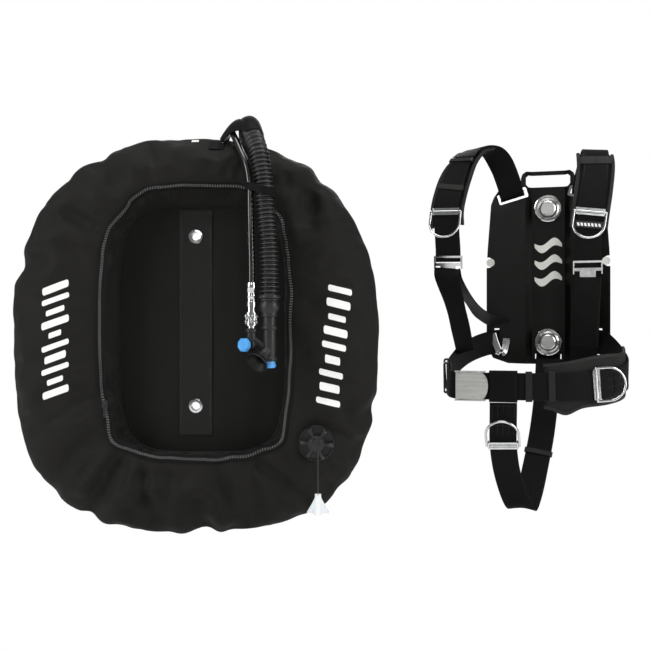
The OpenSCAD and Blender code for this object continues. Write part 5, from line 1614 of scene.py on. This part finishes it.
def makeEdgeTabs(s):
    # a round white tab with a dished face sits in each notch of the plate's edge
    tabs = []
    for side in (-1, 1):
        deselectAll()
        bpy.ops.mesh.primitive_cylinder_add(vertices=40, radius=s["radiusMm"] * mm, depth=s["thickMm"] * mm,
                                            rotation=(math.pi / 2, 0, 0),
                                            location=(side * s["x"] * mm, plateY(s["x"]) * mm, s["z"] * mm))
        tab = bpy.context.object
        pick(tab)
        bpy.ops.object.transform_apply(location=True, rotation=True, scale=True)
        selectFaces(tab, lambda face: abs(face.normal.y) > 0.9)
        bpy.ops.mesh.inset(thickness=2.2 * mm, depth=0)
        bpy.ops.mesh.inset(thickness=0.8 * mm, depth=-0.9 * mm)
        objectMode()
        bevelEdges(tab, 0.4 * mm, 2, lambda edge: edge.calc_face_angle(0) > 1.2)
        tabs.append(tab)
    tabs = joined(tabs)
    settle(tabs, "edgeTabs", "harness", materials["eyelet"], harnessPlace, smooth=40)
    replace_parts(tabs, "edge_eyelets")


makeEdgeTabs(tabShape)

# a bright two-armed guide at the waist slot
guideFrames = webFrames([(-112, -35.5, -122, 1, 0, 0.2), (-106, -37.5, -142, 1, 0, 0.4),
                         (-97, -38.5, -160, 1, 0, 0), (-88, -36.5, -158, 1, 0, -0.4),
                         (-84, -33.5, -132, 1, 0, -0.2)], 6)
webPiece("waistGuide", guideFrames, 15, 2.0, "harness", "polished", waveMm=0)
# cross tapes sewn over the pads
webPiece("crossTapeLeft", cut(leftFrames, 37, 39), 60, 1.2, "harness", "tape",
         lift=-(t / 2 + 0.8), waveMm=0)
webPiece("crossTapeRight", cut(rightFrames, 41, 43), 58, 1.2, "harness", "tape",
         lift=-(t / 2 + 0.8), waveMm=0)
webPiece("crossTapeRightLow", cut(rightFrames, 50, 51), 54, 1.2, "harness", "tape",
         lift=-(t / 2 + 0.8), waveMm=0)


def bandBars(name, frame, count, spreadMm, sizeMm, slant, out):
    # plain slanted bars printed across a strap band
    p, wd, n, tg = frame
    pieces = []
    for k in range(count):
        u = spreadMm * (k / (count - 1) - 0.5)
        rows = [[(p + wd * (u + a * sizeMm[0] + slant * b * sizeMm[1]) + tg * b * sizeMm[1] - n * out) * mm
                 for a in (-0.5, -0.17, 0.17, 0.5)] for b in (-0.5, 0, 0.5)]
        pieces.append(sheetMesh(name, rows))
    piece = joined(pieces)
    addModifier(piece, "SOLIDIFY", thickness=0.3 * mm, offset=0)
    faceOutwards(piece)
    return settle(piece, name, "harness", materials["ink"], harnessPlace, smooth=0)


bandFrame = leftFrames[int(50.6 * perKnot)]
bandBars("bandPrint", bandFrame, 7, 40, (4.2, 6.0), 0.3, 3.9)
# a black ladder slide at the belt's right-hand turn
for k, at in enumerate((33.0, 35.2)):
    loopPiece("beltSlide" + str(k), beltRightFrames[int(at * perKnot)], 58, 8, 3.2, 5, "harness", "plastic",
              harnessPlace, roundMm=3)
print("plate and straps are dressed")


# floor and light
stageSettings = {"floorZ": -0.375, "floorColour": "#fbfbfa", "roomGlow": 0.2}
bpy.ops.mesh.primitive_plane_add(size=30, location=(0.3, 1.5, stageSettings["floorZ"]))
floor = bpy.context.object
floor.name = "floor"
paper, paperTree, paperMain = newMaterial("whitePaper", Roughness=0.95)
paperMain.inputs["Base Color"].default_value = linear(stageSettings["floorColour"])
paperRays = addNode(paperTree, "LightPath", output="Is Camera Ray")
paperGlow = addNode(paperTree, "Emission", {"Color": (1, 1, 1, 1), "Strength": 1.0})
paperBlend = addNode(paperTree, "MixShader", {0: paperRays, 1: paperMain.outputs[0], 2: paperGlow})
paperTree.links.new(paperBlend, paperTree.nodes["Material Output"].inputs["Surface"])
floor.data.materials.append(paper)
lights = [("leftBox", (-2.3, -1.5, 1.0), (0.7, 2.2), 44), ("rightBox", (2.7, -1.3, 0.7), (0.7, 2.2), 38),
          ("topBox", (0.3, -0.3, 2.5), (2.2, 1.2), 38),
          ("frontBox", (0.3, -3.4, 1.2), (1.6, 1.0), 13), ("backBox", (0.3, 3.0, 1.4), (2.4, 1.4), 42)]
for lightName, place, size, power in lights:
    bpy.ops.object.light_add(type="AREA", location=place)
    lamp = bpy.context.object
    lamp.name = lightName
    lamp.data.shape = "RECTANGLE"
    lamp.data.size, lamp.data.size_y = size
    lamp.data.energy = power
    lamp.rotation_euler = (Vector((0.25, 0.1, 0)) - Vector(place)).to_track_quat("-Z", "Y").to_euler()
# the white backdrop is bright only straight behind, so that metal has something dark to reflect
world = bpy.data.worlds.new("studio")
scene.world = world
world.use_nodes = True
worldTree = world.node_tree
backdrop = worldTree.nodes["Background"]
backdrop.inputs["Strength"].default_value = 1.0
backdrop.inputs["Color"].default_value = (1, 1, 1, 1)
rays = addNode(worldTree, "LightPath", output="Is Camera Ray")
room = addNode(worldTree, "Background", {"Color": (1, 1, 1, 1), "Strength": stageSettings["roomGlow"]})
blendRoom = addNode(worldTree, "MixShader", {0: rays, 1: room, 2: backdrop.outputs[0]})
worldTree.links.new(blendRoom, worldTree.nodes["World Output"].inputs["Surface"])
scene.view_settings.view_transform = "Standard"
print("floor and lights are set")
